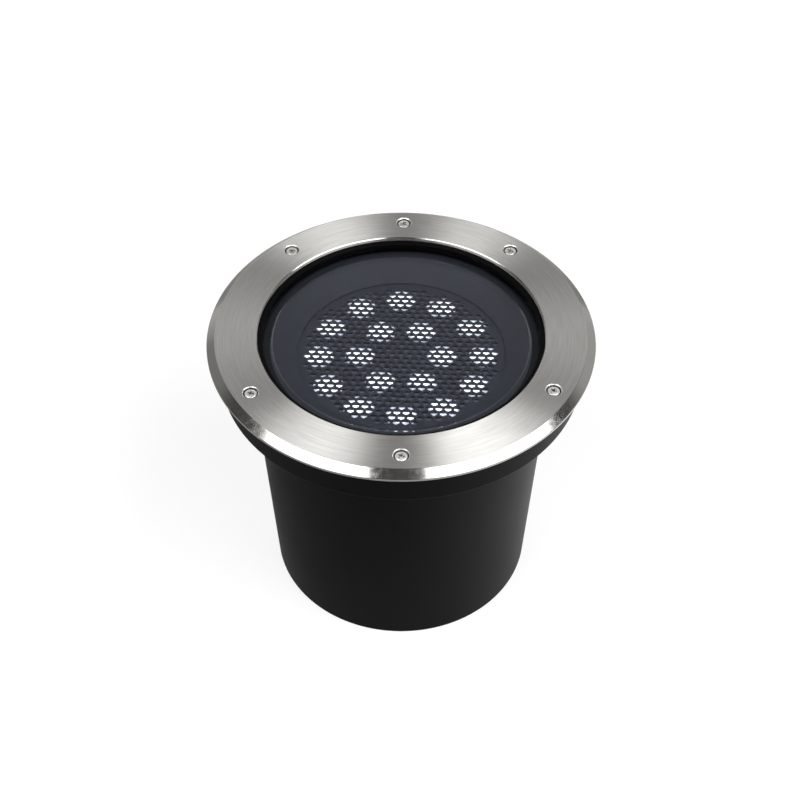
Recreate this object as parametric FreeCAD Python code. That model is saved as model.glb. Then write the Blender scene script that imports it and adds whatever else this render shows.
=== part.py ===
"""In-ground well light: a drop-in lamp under a screwed steel trim ring, standing in a tapered mounting sleeve.

Millimetres, +Z up. The origin is the centre of the sleeve's underside, so the light stands on z = 0.
The front of the light is -Y. Heights that hang from the trim are worked down from the top face.
"""

import FreeCAD, Part
import math
import os

from FreeCAD import Vector

# ---- overall -------------------------------------------------------------------------------------
overall_height = 212.0
fit_gap = 0.15            # between round faces of pieces that sit in each other
thread_gap = 0.1          # radial, between a plain shank and its tapped hole

# ---- trim ring -----------------------------------------------------------------------------------
trim_outer_radius = 130.0
trim_bevel_width = 5.5
trim_bevel_drop = 4.2
trim_edge_height = 1.8    # upright edge below the bevel
trim_lip_depth = 0.5      # the outer lip hangs this far below the ring's seat
trim_lip_gap = 0.8        # lip to the sleeve's rim
aperture_radius = 96.3
aperture_thickness = 2.8
aperture_chamfer = 0.6

# ---- trim screws ---------------------------------------------------------------------------------
trim_screw_circle = 113.2
trim_screw_angles = (89.0, 47.0, -30.0, -90.0, -148.6, 133.0)
trim_screw_radius = 2.0
trim_screw_head_radius = 4.0
trim_screw_head_height = 2.4
trim_screw_length = 14.0
counterbore_radius = 5.0
counterbore_depth = 3.4
counterbore_chamfer = 0.4
seal_washer_thickness = 0.5
seal_washer_margin = 0.4  # washer's edge past the head
screw_tip_room = 1.5      # hole past the screw's tip
cross_recess_depth = 1.4
cross_recess_reach = 2.3
cross_recess_width = 1.0

# ---- glass and its gasket ------------------------------------------------------------------------
glass_recess = 7.2        # trim's top face down to the glass
glass_radius = 100.0
glass_thickness = 8.0
glass_plateau_radius = 86.0
glass_step_drop = 0.8
glass_step_bevel = 1.2
gasket_side = 3.0
gasket_under_lip = 1.0
gasket_under_reach = 5.0  # how far the lower lip runs in from the glass's edge
gasket_top_lip_radius = 92.5
gasket_lip_round = 1.2

# ---- mounting sleeve -----------------------------------------------------------------------------
sleeve_rim_radius = 122.7
sleeve_rim_height = 25.3
sleeve_wall = 3.2
sleeve_neck_radius = 102.3
sleeve_foot_radius = 93.2
sleeve_floor = 4.0
sleeve_edge_round = 1.0
rim_seal_thickness = 1.0
rim_seal_margin = 0.2
conduit_radius = 12.7
conduit_collar_wall = 3.8
conduit_collar_height = 16.0
drain_circle = 48.0
drain_radius = 6.0
drain_count = 6

# ---- lamp housing --------------------------------------------------------------------------------
lamp_clearance = 0.7      # flange to the sleeve's rim
flange_thickness = 16.5
flange_skirt_wall = 4.0
barrel_clearance = 3.2    # fin tips to the sleeve's neck
barrel_taper = 4.0        # how much the fin tips draw in at the foot
fin_height = 7.0
fin_thickness = 3.0
fin_count = 24
barrel_wall = 5.0
heat_floor_thickness = 8.0
barrel_height = 105.0     # flange's underside down to the barrel's foot
cup_ledge_width = 4.0

# ---- baffle, louvre and optics -------------------------------------------------------------------
baffle_gap = 0.3
baffle_thickness = 2.0
baffle_wall = 1.5
baffle_height = 11.0
baffle_edge = 1.5         # upright edge round the baffle's opening
baffle_opening_radius = 71.0
baffle_mouth_radius = 88.0
louvre_radius = 75.5
louvre_thickness = 1.8
louvre_cell_pitch = 6.07
louvre_row_pitch = 4.55
louvre_web = 1.85
louvre_slant = 30.0       # degrees, the sloping cell sides to the row
louvre_turn = -3.0        # degrees, the rows to the X axis
louvre_cell_field = 66.0
carrier_wall = 2.5        # round the louvre's edge
carrier_plate_thickness = 2.7
carrier_shoulder = 2.0
louvre_to_carrier = 0.8
lens_flange_radius = 10.2
lens_flange_thickness = 1.4
lens_proud = 0.5
lens_body_radius = 7.9
lens_height = 8.6
lens_foot_radius = 4.2
lens_pocket_radius = 2.2
lens_pocket_depth = 3.0
outer_ring_radius = 56.0
outer_ring_count = 12
inner_ring_radius = 28.0
inner_ring_count = 6

# ---- LED board -----------------------------------------------------------------------------------
board_radius = 74.0
board_thickness = 1.6
pad_thickness = 0.5
chip_width = 3.4
chip_height = 0.8
chip_dome_radius = 1.3
chip_to_lens = 0.4
board_screw_circle = 42.0
board_screw_count = 6
board_screw_radius = 1.5
board_screw_head_radius = 2.75
board_screw_head_height = 1.8
board_screw_length = 6.0

# ---- driver chamber ------------------------------------------------------------------------------
driver_length = 96.0
driver_width = 42.0
driver_height = 30.0
driver_offset = 37.0      # driver's centre behind the axis
driver_foot_length = 8.0
driver_foot_thickness = 3.0
driver_screw_radius = 2.0
driver_screw_length = 6.0
terminal_length = 44.0
terminal_width = 20.0
terminal_height = 16.0
terminal_offset = 38.0    # terminal block's centre in front of the axis
terminal_ways = 3
terminal_screw_radius = 1.9
terminal_screw_depth = 1.2
earth_screw_place = (46.0, -38.0)
earth_screw_radius = 2.5
earth_screw_length = 7.0
earth_lug_radius = 5.0
earth_lug_thickness = 1.0
earth_lug_length = 15.0
grommet_hole_radius = 6.5
grommet_flange_radius = 9.0
grommet_flange_thickness = 1.5
grommet_bore_radius = 4.5

# ---- wires inside the lamp -----------------------------------------------------------------------
wire_radius = 1.0
wire_spacing = 4.4
wire_drop = 14.0          # wires below the heat floor
wire_rise = 5.0           # wires above the board
wire_pad_reach = 12.0
wire_bend_share = 0.45    # of a corner's shorter run that its arc may use
mains_wire_offset = 14.0
mains_wire_bow = 6.0
earth_wire_reach = 12.0

# ---- bottom cover, gland and vent ----------------------------------------------------------------
cover_thickness = 4.0
cover_seal_thickness = 1.0
cover_boss_radius = 5.0
cover_boss_height = 22.0
cover_screw_count = 6
cover_screw_radius = 2.0
cover_screw_head_radius = 3.9
cover_screw_head_height = 2.4
cover_screw_length = 16.0
gland_shank_radius = 9.9
gland_hex_flats = 24.0
gland_hex_height = 5.0
gland_inner_length = 11.0
gland_locknut_height = 4.0
gland_spigot_radius = 9.0
gland_spigot_length = 11.0
gland_bore_radius = 7.4
gland_seal_radius = 4.3
gland_seal_length = 10.0
gland_nut_flats = 23.0
gland_nut_length = 15.0
gland_nut_mouth_radius = 6.0
gland_nut_mouth_wall = 3.0
gland_nut_gap = 1.0       # nut's end to the hexagon
vent_place = (52.0, 0.0)
vent_shank_radius = 5.9
vent_head_flats = 16.0
vent_head_height = 5.0
vent_inner_length = 7.0

# ---- heights and radii that follow ---------------------------------------------------------------
trim_underside = overall_height - trim_bevel_drop - trim_edge_height
trim_seat = trim_underside + trim_lip_depth
trim_gasket_face = overall_height - aperture_thickness
screw_seat = overall_height - counterbore_depth
screw_head_foot = screw_seat + seal_washer_thickness
screw_tip = screw_head_foot - trim_screw_length

glass_top = overall_height - glass_recess
glass_bottom = glass_top - glass_thickness
glass_shoulder = glass_top - glass_step_drop
gasket_radius = glass_radius + fit_gap + gasket_side
glass_seat = glass_bottom - gasket_under_lip
seat_radius = gasket_radius + fit_gap
gasket_pocket_radius = seat_radius + fit_gap

rim_inner_radius = sleeve_rim_radius - sleeve_wall
rim_top = trim_seat - rim_seal_thickness
rim_bottom = rim_top - sleeve_rim_height
flange_radius = rim_inner_radius - lamp_clearance
flange_bottom = trim_seat - flange_thickness
ledge_top = rim_bottom + sleeve_wall

baffle_seat = glass_bottom - baffle_height
cup_radius = glass_radius - gasket_under_reach - fit_gap
cup_lower_radius = cup_radius - cup_ledge_width
baffle_radius = cup_radius - baffle_gap
louvre_bottom = baffle_seat - louvre_thickness
carrier_top = louvre_bottom - louvre_to_carrier
lens_top = carrier_top + lens_proud
lens_bottom = lens_top - lens_height
chip_top = lens_bottom + chip_to_lens
board_top = chip_top - chip_height - chip_dome_radius
board_bottom = board_top - board_thickness
heat_floor_top = board_bottom - pad_thickness
heat_floor_bottom = heat_floor_top - heat_floor_thickness
carrier_bore_radius = board_radius + baffle_gap
carrier_radius = louvre_radius + baffle_gap + carrier_wall

barrel_top_radius = sleeve_neck_radius - sleeve_wall - barrel_clearance
barrel_foot_radius = barrel_top_radius - barrel_taper
barrel_core_radius = barrel_foot_radius - fin_height
chamber_radius = barrel_core_radius - barrel_wall
barrel_foot = flange_bottom - barrel_height
cover_top = barrel_foot - cover_seal_thickness
cover_bottom = cover_top - cover_thickness
cover_boss_circle = chamber_radius - cover_boss_radius / 2.0
gland_hex_bottom = cover_bottom - gland_hex_height
gland_spigot_bottom = gland_hex_bottom - gland_spigot_length
gland_nut_top = gland_hex_bottom - gland_nut_gap
gland_nut_bottom = gland_nut_top - gland_nut_length

up = Vector(0, 0, 1)
axis_foot = Vector(0, 0, 0)


# ---- small helpers -------------------------------------------------------------------------------
def turned(profile):
    """A solid of revolution about Z from (radius, height) corners."""
    corners = [Vector(radius, 0, height) for radius, height in profile]
    face = Part.Face(Part.makePolygon(corners + corners[:1]))
    return face.revolve(axis_foot, up, 360)


def tube(outer, inner, bottom, top):
    """An upright ring."""
    return turned([(inner, bottom), (outer, bottom), (outer, top), (inner, top)])


def rod(radius, bottom, top, place=(0.0, 0.0)):
    """An upright cylinder at a place in plan."""
    return Part.makeCylinder(radius, top - bottom, Vector(place[0], place[1], bottom))


def block(length, width, bottom, top, place=(0.0, 0.0)):
    """An upright box centred at a place in plan."""
    corner = Vector(place[0] - length / 2.0, place[1] - width / 2.0, bottom)
    return Part.makeBox(length, width, top - bottom, corner)


def prism(corners, bottom, top):
    """An upright prism over plan corners."""
    points = [Vector(x, y, bottom) for x, y in corners]
    return Part.Face(Part.makePolygon(points + points[:1])).extrude(Vector(0, 0, top - bottom))


def hexagon(flats, bottom, top, place=(0.0, 0.0)):
    """A hexagonal bar, measured across its flats."""
    reach = flats / math.sqrt(3.0)
    corners = [polar(reach, 60.0 * i) for i in range(6)]
    return prism([(x + place[0], y + place[1]) for x, y in corners], bottom, top)


def polar(radius, degrees):
    """Plan coordinates of a point on a circle about the axis."""
    turn = math.radians(degrees)
    return radius * math.cos(turn), radius * math.sin(turn)


def ring_places(radius, count, start=0.0):
    """Evenly spaced plan places on a circle."""
    return [polar(radius, start + 360.0 * i / count) for i in range(count)]


def moved(shape, place, degrees=0.0):
    """A copy turned about Z, then moved in plan."""
    copy = shape.copy()
    copy.rotate(axis_foot, up, degrees)
    copy.translate(Vector(place[0], place[1], 0))
    return copy


def wire_tube(points, radius):
    """A round wire along straight runs, with an arc at each corner as large as its two runs allow."""
    edges = []
    start = points[0]
    for before, corner, after in zip(points, points[1:], points[2:]):
        to_corner = (corner - before).normalize()
        from_corner = (after - corner).normalize()
        half_turn = to_corner.getAngle(from_corner) / 2.0
        back = wire_bend_share * min(corner.distanceToPoint(before), corner.distanceToPoint(after))
        bend = back / math.tan(half_turn)
        first = corner - to_corner * back
        last = corner + from_corner * back
        inward = (from_corner - to_corner).normalize()
        middle = corner + inward * (bend / math.cos(half_turn) - bend)
        edges.append(Part.LineSegment(start, first).toShape())
        edges.append(Part.Arc(first, middle, last).toShape())
        start = last
    edges.append(Part.LineSegment(start, points[-1]).toShape())
    section = Part.Wire(Part.makeCircle(radius, points[0], points[1] - points[0]))
    return Part.Wire(edges).makePipeShell([section], True, True)


# ---- fasteners -----------------------------------------------------------------------------------
def cross_recess(top, reach, width, depth):
    """The cutter for a cross recess that narrows towards its foot."""
    arms = [block(2 * reach, width, top - depth, top + 1), block(width, 2 * reach, top - depth, top + 1)]
    taper = Part.makeCone(width / 2.0, reach * (1 + 1 / depth), depth + 1, Vector(0, 0, top - depth))
    return arms[0].fuse(arms[1]).common(taper)


def pan_head(radius, height, foot):
    """A pan head: an upright edge under a shallow dome."""
    edge = foot + height * 0.45
    start, end = Vector(radius, 0, edge), Vector(0, 0, foot + height)
    dome_point = Vector(radius * 0.8, 0, edge + (foot + height - edge) * 0.62)
    outline = [
        Part.LineSegment(Vector(0, 0, foot), Vector(radius, 0, foot)).toShape(),
        Part.LineSegment(Vector(radius, 0, foot), start).toShape(),
        Part.Arc(start, dome_point, end).toShape(),
        Part.LineSegment(end, Vector(0, 0, foot)).toShape(),
    ]
    return Part.Face(Part.Wire(outline)).revolve(axis_foot, up, 360)


def pan_screw(head_foot, head_radius, head_height, shank_radius, length):
    """A pan head screw with a cross recess, pointing down, with a short lead at its tip."""
    lead = shank_radius / 2.0
    tip = head_foot - length
    shank = turned([(0, tip), (shank_radius - lead, tip), (shank_radius, tip + lead),
                    (shank_radius, head_foot), (0, head_foot)])
    head = pan_head(head_radius, head_height, head_foot)
    reach = cross_recess_reach * head_radius / trim_screw_head_radius
    width = cross_recess_width * head_radius / trim_screw_head_radius
    depth = cross_recess_depth * head_height / trim_screw_head_height
    recess = cross_recess(head_foot + head_height, reach, width, depth)
    return head.fuse(shank).cut(recess)


def flipped(shape, height):
    """A copy turned upside down about a height, to make a screw that points up."""
    copy = shape.copy()
    copy.rotate(Vector(0, 0, height), Vector(1, 0, 0), 180)
    return copy


# ---- trim ----------------------------------------------------------------------------------------
def trim_ring():
    """Stainless ring: bevelled outside, stepped underneath for the gasket, counterbored for its screws."""
    flat_radius = trim_outer_radius - trim_bevel_width
    lip_inner = sleeve_rim_radius + trim_lip_gap
    ring = turned([
        (aperture_radius + aperture_chamfer, overall_height),
        (flat_radius, overall_height),
        (trim_outer_radius, overall_height - trim_bevel_drop),
        (trim_outer_radius, trim_underside),
        (lip_inner, trim_underside),
        (lip_inner, trim_seat),
        (gasket_pocket_radius, trim_seat),
        (gasket_pocket_radius, trim_gasket_face),
        (aperture_radius, trim_gasket_face),
        (aperture_radius, overall_height - aperture_chamfer),
    ])
    cutters = []
    for angle in trim_screw_angles:
        place = polar(trim_screw_circle, angle)
        cutters.append(rod(trim_screw_radius + thread_gap, trim_underside - 1, overall_height + 1, place))
        cutters.append(rod(counterbore_radius, screw_seat, overall_height + 1, place))
        wide = counterbore_radius + counterbore_chamfer
        mouth = Part.makeCone(counterbore_radius, wide, counterbore_chamfer,
                              Vector(place[0], place[1], overall_height - counterbore_chamfer))
        cutters.append(mouth)
    return ring.cut(cutters)


def trim_screws():
    """The ring's cross head screws, each at its own angle round the ring."""
    screw = pan_screw(screw_head_foot, trim_screw_head_radius, trim_screw_head_height,
                      trim_screw_radius, trim_screw_length)
    return [moved(screw, polar(trim_screw_circle, a), a) for a in trim_screw_angles]


def trim_screw_washers():
    """A sealing washer under each trim screw's head."""
    washer = tube(trim_screw_head_radius + seal_washer_margin, trim_screw_radius + thread_gap,
                  screw_seat, screw_head_foot)
    return [moved(washer, polar(trim_screw_circle, a)) for a in trim_screw_angles]


# ---- glass ---------------------------------------------------------------------------------------
def glass_lens():
    """Toughened glass disc with a raised middle and a lower border for the gasket."""
    return turned([
        (0, glass_bottom),
        (glass_radius, glass_bottom),
        (glass_radius, glass_shoulder),
        (glass_plateau_radius + glass_step_bevel, glass_shoulder),
        (glass_plateau_radius, glass_top),
        (0, glass_top),
    ])


def glass_gasket():
    """Silicone gasket that wraps the glass's edge and fills up to the trim ring."""
    under_radius = glass_radius - gasket_under_reach
    lip = gasket_top_lip_radius
    turn = gasket_lip_round
    corner = turn * (1 - math.sqrt(0.5))
    corners = [
        (lip, glass_shoulder),
        (lip, trim_gasket_face - turn),
        (lip + turn, trim_gasket_face),
        (gasket_radius, trim_gasket_face),
        (gasket_radius, glass_seat),
        (under_radius, glass_seat),
        (under_radius, glass_bottom),
        (glass_radius + fit_gap, glass_bottom),
        (glass_radius + fit_gap, glass_shoulder),
    ]
    points = [Vector(r, 0, z) for r, z in corners]
    middle = Vector(lip + corner, 0, trim_gasket_face - corner)
    edges = [Part.LineSegment(points[0], points[1]).toShape(),
             Part.Arc(points[1], middle, points[2]).toShape()]
    loop = points[2:] + points[:1]
    edges += [Part.LineSegment(a, b).toShape() for a, b in zip(loop, loop[1:])]
    return Part.Face(Part.Wire(edges)).revolve(axis_foot, up, 360)


# ---- mounting sleeve -----------------------------------------------------------------------------
def sleeve_can():
    """Tapered can with a conduit collar in its floor and drain holes round it."""
    neck_inner = sleeve_neck_radius - sleeve_wall
    foot_inner = sleeve_foot_radius - sleeve_wall
    slope = (neck_inner - foot_inner) / rim_bottom
    collar_outer = conduit_radius + conduit_collar_wall
    shell = turned([
        (conduit_radius, 0),
        (sleeve_foot_radius - sleeve_edge_round, 0),
        (sleeve_foot_radius, sleeve_edge_round),
        (sleeve_neck_radius, rim_bottom),
        (neck_inner, rim_bottom),
        (foot_inner + slope * sleeve_floor, sleeve_floor),
        (collar_outer, sleeve_floor),
        (collar_outer, conduit_collar_height),
        (conduit_radius, conduit_collar_height),
    ])
    drains = [rod(drain_radius, -1, sleeve_floor + 1, p) for p in ring_places(drain_circle, drain_count, 30)]
    return shell.cut(drains)


def sleeve_rim():
    """Wide ring welded on the can: the lamp stands on its ledge and the trim lies on its top."""
    ledge_inner = sleeve_neck_radius - sleeve_wall
    return turned([
        (ledge_inner, rim_bottom),
        (sleeve_rim_radius - sleeve_edge_round, rim_bottom),
        (sleeve_rim_radius, rim_bottom + sleeve_edge_round),
        (sleeve_rim_radius, rim_top),
        (rim_inner_radius, rim_top),
        (rim_inner_radius, ledge_top),
        (ledge_inner, ledge_top),
    ])


def rim_seal():
    """Flat rubber ring between the sleeve's rim and the trim."""
    return tube(sleeve_rim_radius - rim_seal_margin, rim_inner_radius + rim_seal_margin, rim_top, trim_seat)


# ---- lamp housing --------------------------------------------------------------------------------
def housing_shell():
    """Turned body: flange with the glass seat and skirt, optics cup and heat floor."""
    return turned([
        (cup_lower_radius, heat_floor_top),
        (cup_lower_radius, baffle_seat),
        (cup_radius, baffle_seat),
        (cup_radius, glass_seat),
        (seat_radius, glass_seat),
        (seat_radius, trim_seat),
        (flange_radius, trim_seat),
        (flange_radius, ledge_top),
        (flange_radius - flange_skirt_wall, ledge_top),
        (flange_radius - flange_skirt_wall, flange_bottom),
        (barrel_top_radius, flange_bottom),
        (barrel_top_radius, heat_floor_bottom),
        (grommet_hole_radius, heat_floor_bottom),
        (grommet_hole_radius, heat_floor_top),
    ])


def cooling_fins():
    """Upright fins round the driver chamber, drawn in towards the foot."""
    root = barrel_core_radius - 1.0
    corners = [Vector(root, 0, barrel_foot), Vector(barrel_foot_radius, 0, barrel_foot),
               Vector(barrel_top_radius, 0, heat_floor_bottom), Vector(root, 0, heat_floor_bottom)]
    side = Part.Face(Part.makePolygon(corners + corners[:1]))
    side.translate(Vector(0, -fin_thickness / 2.0, 0))
    fin = side.extrude(Vector(0, fin_thickness, 0))
    return [moved(fin, (0, 0), 360.0 * i / fin_count) for i in range(fin_count)]


def lamp_housing():
    """Die-cast upper housing with every hole tapped into its flange and its heat floor."""
    hole = trim_screw_radius + thread_gap
    cutters = [rod(hole, screw_tip - screw_tip_room, trim_seat + 1, polar(trim_screw_circle, a))
               for a in trim_screw_angles]
    board_hole_foot = board_top - board_screw_length - screw_tip_room
    cutters += [rod(board_screw_radius + thread_gap, board_hole_foot, heat_floor_top + 1, p)
                for p in ring_places(board_screw_circle, board_screw_count, 30)]
    driver_hole_top = heat_floor_bottom - driver_foot_thickness + driver_screw_length + screw_tip_room
    cutters += [rod(driver_screw_radius + thread_gap, heat_floor_bottom - 1, driver_hole_top, p)
                for p in driver_screw_places()]
    earth_hole_top = heat_floor_bottom - earth_lug_thickness + earth_screw_length
    cutters.append(rod(earth_screw_radius + thread_gap, heat_floor_bottom - 1, earth_hole_top,
                       earth_screw_place))
    return housing_shell().cut(cutters)


def driver_housing():
    """Finned barrel that hangs from the heat floor round the driver, with bosses for the bottom cover."""
    barrel = tube(barrel_core_radius, chamber_radius, barrel_foot, heat_floor_bottom)
    bosses = [rod(cover_boss_radius, barrel_foot, barrel_foot + cover_boss_height, p)
              for p in ring_places(cover_boss_circle, cover_screw_count)]
    cover_hole_top = cover_bottom + cover_screw_length + screw_tip_room
    holes = [rod(cover_screw_radius + thread_gap, barrel_foot - 1, cover_hole_top, p)
             for p in ring_places(cover_boss_circle, cover_screw_count)]
    return barrel.fuse(cooling_fins() + bosses).cut(holes)


# ---- baffle, louvre, optics ----------------------------------------------------------------------
def baffle_ring():
    """Black funnel from the glass down to the louvre, with a skirt that stands on the cup's ledge."""
    cone_foot = baffle_seat + baffle_edge
    slope = (glass_bottom - cone_foot) / (baffle_mouth_radius - baffle_opening_radius)
    under_foot = baffle_opening_radius + (baffle_thickness - baffle_edge) / slope
    skirt_radius = baffle_radius - baffle_wall
    return turned([
        (baffle_opening_radius, baffle_seat),
        (under_foot, baffle_seat),
        (baffle_mouth_radius, glass_bottom - baffle_thickness),
        (skirt_radius, glass_bottom - baffle_thickness),
        (skirt_radius, baffle_seat),
        (baffle_radius, baffle_seat),
        (baffle_radius, glass_bottom),
        (baffle_mouth_radius, glass_bottom),
        (baffle_opening_radius, cone_foot),
    ])


def louvre_cell(place):
    """Outline of one six-sided cell, run clockwise so that it reads as a hole."""
    half_pitch = louvre_cell_pitch / 2.0
    slant = math.radians(louvre_slant)
    half_width = half_pitch - louvre_web / 2.0
    rise = half_pitch * math.tan(slant)
    half_height = (louvre_row_pitch + rise) / 2.0 - louvre_web / 2.0 / math.cos(slant)
    shoulder = half_height - half_width * math.tan(slant)
    corners = [(half_width, -shoulder), (0, -half_height), (-half_width, -shoulder),
               (-half_width, shoulder), (0, half_height), (half_width, shoulder)]
    points = [Vector(place[0] + x, place[1] + y, 0) for x, y in corners]
    return Part.makePolygon(points + points[:1])


def louvre_places():
    """Plan places of the cells, in rows that step sideways by half a cell."""
    rows = int(louvre_cell_field / louvre_row_pitch)
    columns = int(louvre_cell_field / louvre_cell_pitch) + 1
    places = []
    for row in range(-rows, rows + 1):
        shift = louvre_cell_pitch / 2.0 * (row % 2)
        for column in range(-columns, columns + 1):
            place = (column * louvre_cell_pitch + shift, row * louvre_row_pitch)
            if math.hypot(*place) <= louvre_cell_field:
                places.append(place)
    return places


def honeycomb_louvre():
    """Thin moulded grid of cells that hides the optics from the side."""
    rim = Part.Wire(Part.makeCircle(louvre_radius))
    face = Part.Face([rim] + [louvre_cell(p) for p in louvre_places()])
    grid = face.extrude(Vector(0, 0, louvre_thickness))
    grid.rotate(axis_foot, up, louvre_turn)
    grid.translate(Vector(0, 0, louvre_bottom))
    return grid


def optic_places():
    """Plan places of the emitters: an outer ring and an inner ring."""
    return ring_places(outer_ring_radius, outer_ring_count) + ring_places(inner_ring_radius, inner_ring_count)


def lens_carrier():
    """Black holder that stands on the heat floor, holds the lenses and carries the louvre."""
    shell = turned([
        (0, carrier_top - carrier_plate_thickness),
        (carrier_bore_radius, carrier_top - carrier_plate_thickness),
        (carrier_bore_radius, heat_floor_top),
        (carrier_radius, heat_floor_top),
        (carrier_radius, baffle_seat),
        (louvre_radius + baffle_gap, baffle_seat),
        (louvre_radius + baffle_gap, louvre_bottom),
        (louvre_radius - carrier_shoulder, louvre_bottom),
        (louvre_radius - carrier_shoulder, carrier_top),
        (0, carrier_top),
    ])
    flange_seat = lens_top - lens_flange_thickness
    cutters = []
    for place in optic_places():
        cutters.append(rod(lens_body_radius + fit_gap, heat_floor_top, carrier_top + 1, place))
        cutters.append(rod(lens_flange_radius + fit_gap, flange_seat, carrier_top + 1, place))
    return shell.cut(cutters)


def lens_array():
    """Collimator lenses, one over each emitter."""
    flange_seat = lens_top - lens_flange_thickness
    lens = turned([
        (0, lens_bottom + lens_pocket_depth),
        (lens_pocket_radius, lens_bottom + lens_pocket_depth),
        (lens_pocket_radius, lens_bottom),
        (lens_foot_radius, lens_bottom),
        (lens_body_radius, flange_seat),
        (lens_flange_radius, flange_seat),
        (lens_flange_radius, lens_top),
        (0, lens_top),
    ])
    return [moved(lens, p) for p in optic_places()]


# ---- board ---------------------------------------------------------------------------------------
def board_holes(bottom, top):
    """Cutters for the wire hole and the screws through the board and its pad."""
    holes = [rod(grommet_flange_radius + baffle_gap, bottom - 1, top + 1)]
    holes += [rod(board_screw_radius + thread_gap, bottom - 1, top + 1, p)
              for p in ring_places(board_screw_circle, board_screw_count, 30)]
    return holes


def led_board():
    """Metal-core circuit board."""
    return rod(board_radius, board_bottom, board_top).cut(board_holes(board_bottom, board_top))


def thermal_pad():
    """Heat-conducting sheet under the board."""
    return rod(board_radius, heat_floor_top, board_bottom).cut(board_holes(heat_floor_top, board_bottom))


def led_chips():
    """Emitters: a square base with a small dome."""
    base_top = board_top + chip_height
    chip = block(chip_width, chip_width, board_top, base_top)
    dome = Part.makeSphere(chip_dome_radius, Vector(0, 0, base_top), up, 0, 90)
    chip = chip.fuse(dome)
    return [moved(chip, p) for p in optic_places()]


def board_screws():
    """Screws that clamp the board to the heat floor."""
    screw = pan_screw(board_top, board_screw_head_radius, board_screw_head_height,
                      board_screw_radius, board_screw_length)
    return [moved(screw, p) for p in ring_places(board_screw_circle, board_screw_count, 30)]


# ---- driver chamber ------------------------------------------------------------------------------
def driver_screw_places():
    """Plan places of the driver's two fixing screws, in its end feet."""
    reach = driver_length / 2.0 + driver_foot_length / 2.0
    return [(-reach, driver_offset), (reach, driver_offset)]


def led_driver():
    """Potted driver with a foot at each end, hung from the heat floor."""
    bottom = heat_floor_bottom - driver_height
    body = block(driver_length, driver_width, bottom, heat_floor_bottom, (0, driver_offset))
    upright = [e for e in body.Edges if abs(e.tangentAt(e.FirstParameter).z) > 0.5]
    body = body.makeFillet(2.0, upright)
    foot_span = driver_length + 2 * driver_foot_length
    feet = block(foot_span, driver_foot_length * 1.5, heat_floor_bottom - driver_foot_thickness,
                 heat_floor_bottom, (0, driver_offset))
    holes = [rod(driver_screw_radius + thread_gap, bottom, heat_floor_bottom + 1, p)
             for p in driver_screw_places()]
    return body.fuse(feet).cut(holes)


def driver_screws():
    """Two screws up into the heat floor."""
    head_foot = heat_floor_bottom - driver_foot_thickness
    screw = flipped(pan_screw(head_foot, trim_screw_head_radius, trim_screw_head_height,
                              driver_screw_radius, driver_screw_length), head_foot)
    return [moved(screw, p) for p in driver_screw_places()]


def terminal_block():
    """Mains terminal block with a screw well and a wire entry for each way."""
    bottom = heat_floor_bottom - terminal_height
    place = (0, -terminal_offset)
    body = block(terminal_length, terminal_width, bottom, heat_floor_bottom, place)
    pitch = terminal_length / terminal_ways
    cutters = []
    for way in range(terminal_ways):
        x = (way - (terminal_ways - 1) / 2.0) * pitch
        cutters.append(rod(terminal_screw_radius, bottom - 1, bottom + terminal_screw_depth, (x, place[1])))
        front = Vector(x, place[1] - terminal_width / 2.0 - 1, bottom + terminal_height / 2.0)
        cutters.append(Part.makeCylinder(terminal_screw_radius, terminal_width / 3.0, front, Vector(0, 1, 0)))
    return body.cut(cutters)


def earth_screw():
    """Earth screw up into the heat floor, crimped in one piece with its lug."""
    lug_foot = heat_floor_bottom - earth_lug_thickness
    lug = rod(earth_lug_radius, lug_foot, heat_floor_bottom, earth_screw_place)
    barrel_place = (earth_screw_place[0] - earth_lug_length / 2.0, earth_screw_place[1])
    tail = block(earth_lug_length, earth_lug_radius, lug_foot, heat_floor_bottom, barrel_place)
    screw = flipped(pan_screw(lug_foot, trim_screw_head_radius, trim_screw_head_height,
                              earth_screw_radius, earth_screw_length - 1), lug_foot)
    return lug.fuse([tail, moved(screw, earth_screw_place)])


def lead_grommet():
    """Rubber bush in the heat floor that the board's wires pass through."""
    return turned([
        (grommet_bore_radius, heat_floor_bottom - grommet_flange_thickness),
        (grommet_flange_radius, heat_floor_bottom - grommet_flange_thickness),
        (grommet_flange_radius, heat_floor_bottom),
        (grommet_hole_radius - fit_gap, heat_floor_bottom),
        (grommet_hole_radius - fit_gap, heat_floor_top),
        (grommet_flange_radius, heat_floor_top),
        (grommet_flange_radius, heat_floor_top + grommet_flange_thickness),
        (grommet_bore_radius, heat_floor_top + grommet_flange_thickness),
    ])


# ---- wires ---------------------------------------------------------------------------------------
def led_lead(side):
    """Wire from the driver's front, up through the grommet and over to its pad on the board."""
    x = side * wire_spacing / 2.0
    front = driver_offset - driver_width / 2.0
    low = heat_floor_bottom - wire_drop
    high = board_top + wire_rise
    pad = side * wire_pad_reach
    points = [Vector(x, front, low), Vector(x, 0, low), Vector(x, 0, high), Vector(pad, 0, high),
              Vector(pad, 0, board_top)]
    return wire_tube(points, wire_radius)


def mains_lead(side):
    """Wire from the terminal block's back to the driver's front, bowed down in the middle."""
    x = side * mains_wire_offset
    start = -terminal_offset + terminal_width / 2.0
    end = driver_offset - driver_width / 2.0
    height = heat_floor_bottom - terminal_height / 2.0
    quarter = (end - start) / 4.0
    low = height - mains_wire_bow
    points = [Vector(x, start, height), Vector(x, start + quarter, height),
              Vector(x, (start + end) / 2.0, low), Vector(x, end - quarter, height), Vector(x, end, height)]
    return wire_tube(points, wire_radius)


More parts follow.
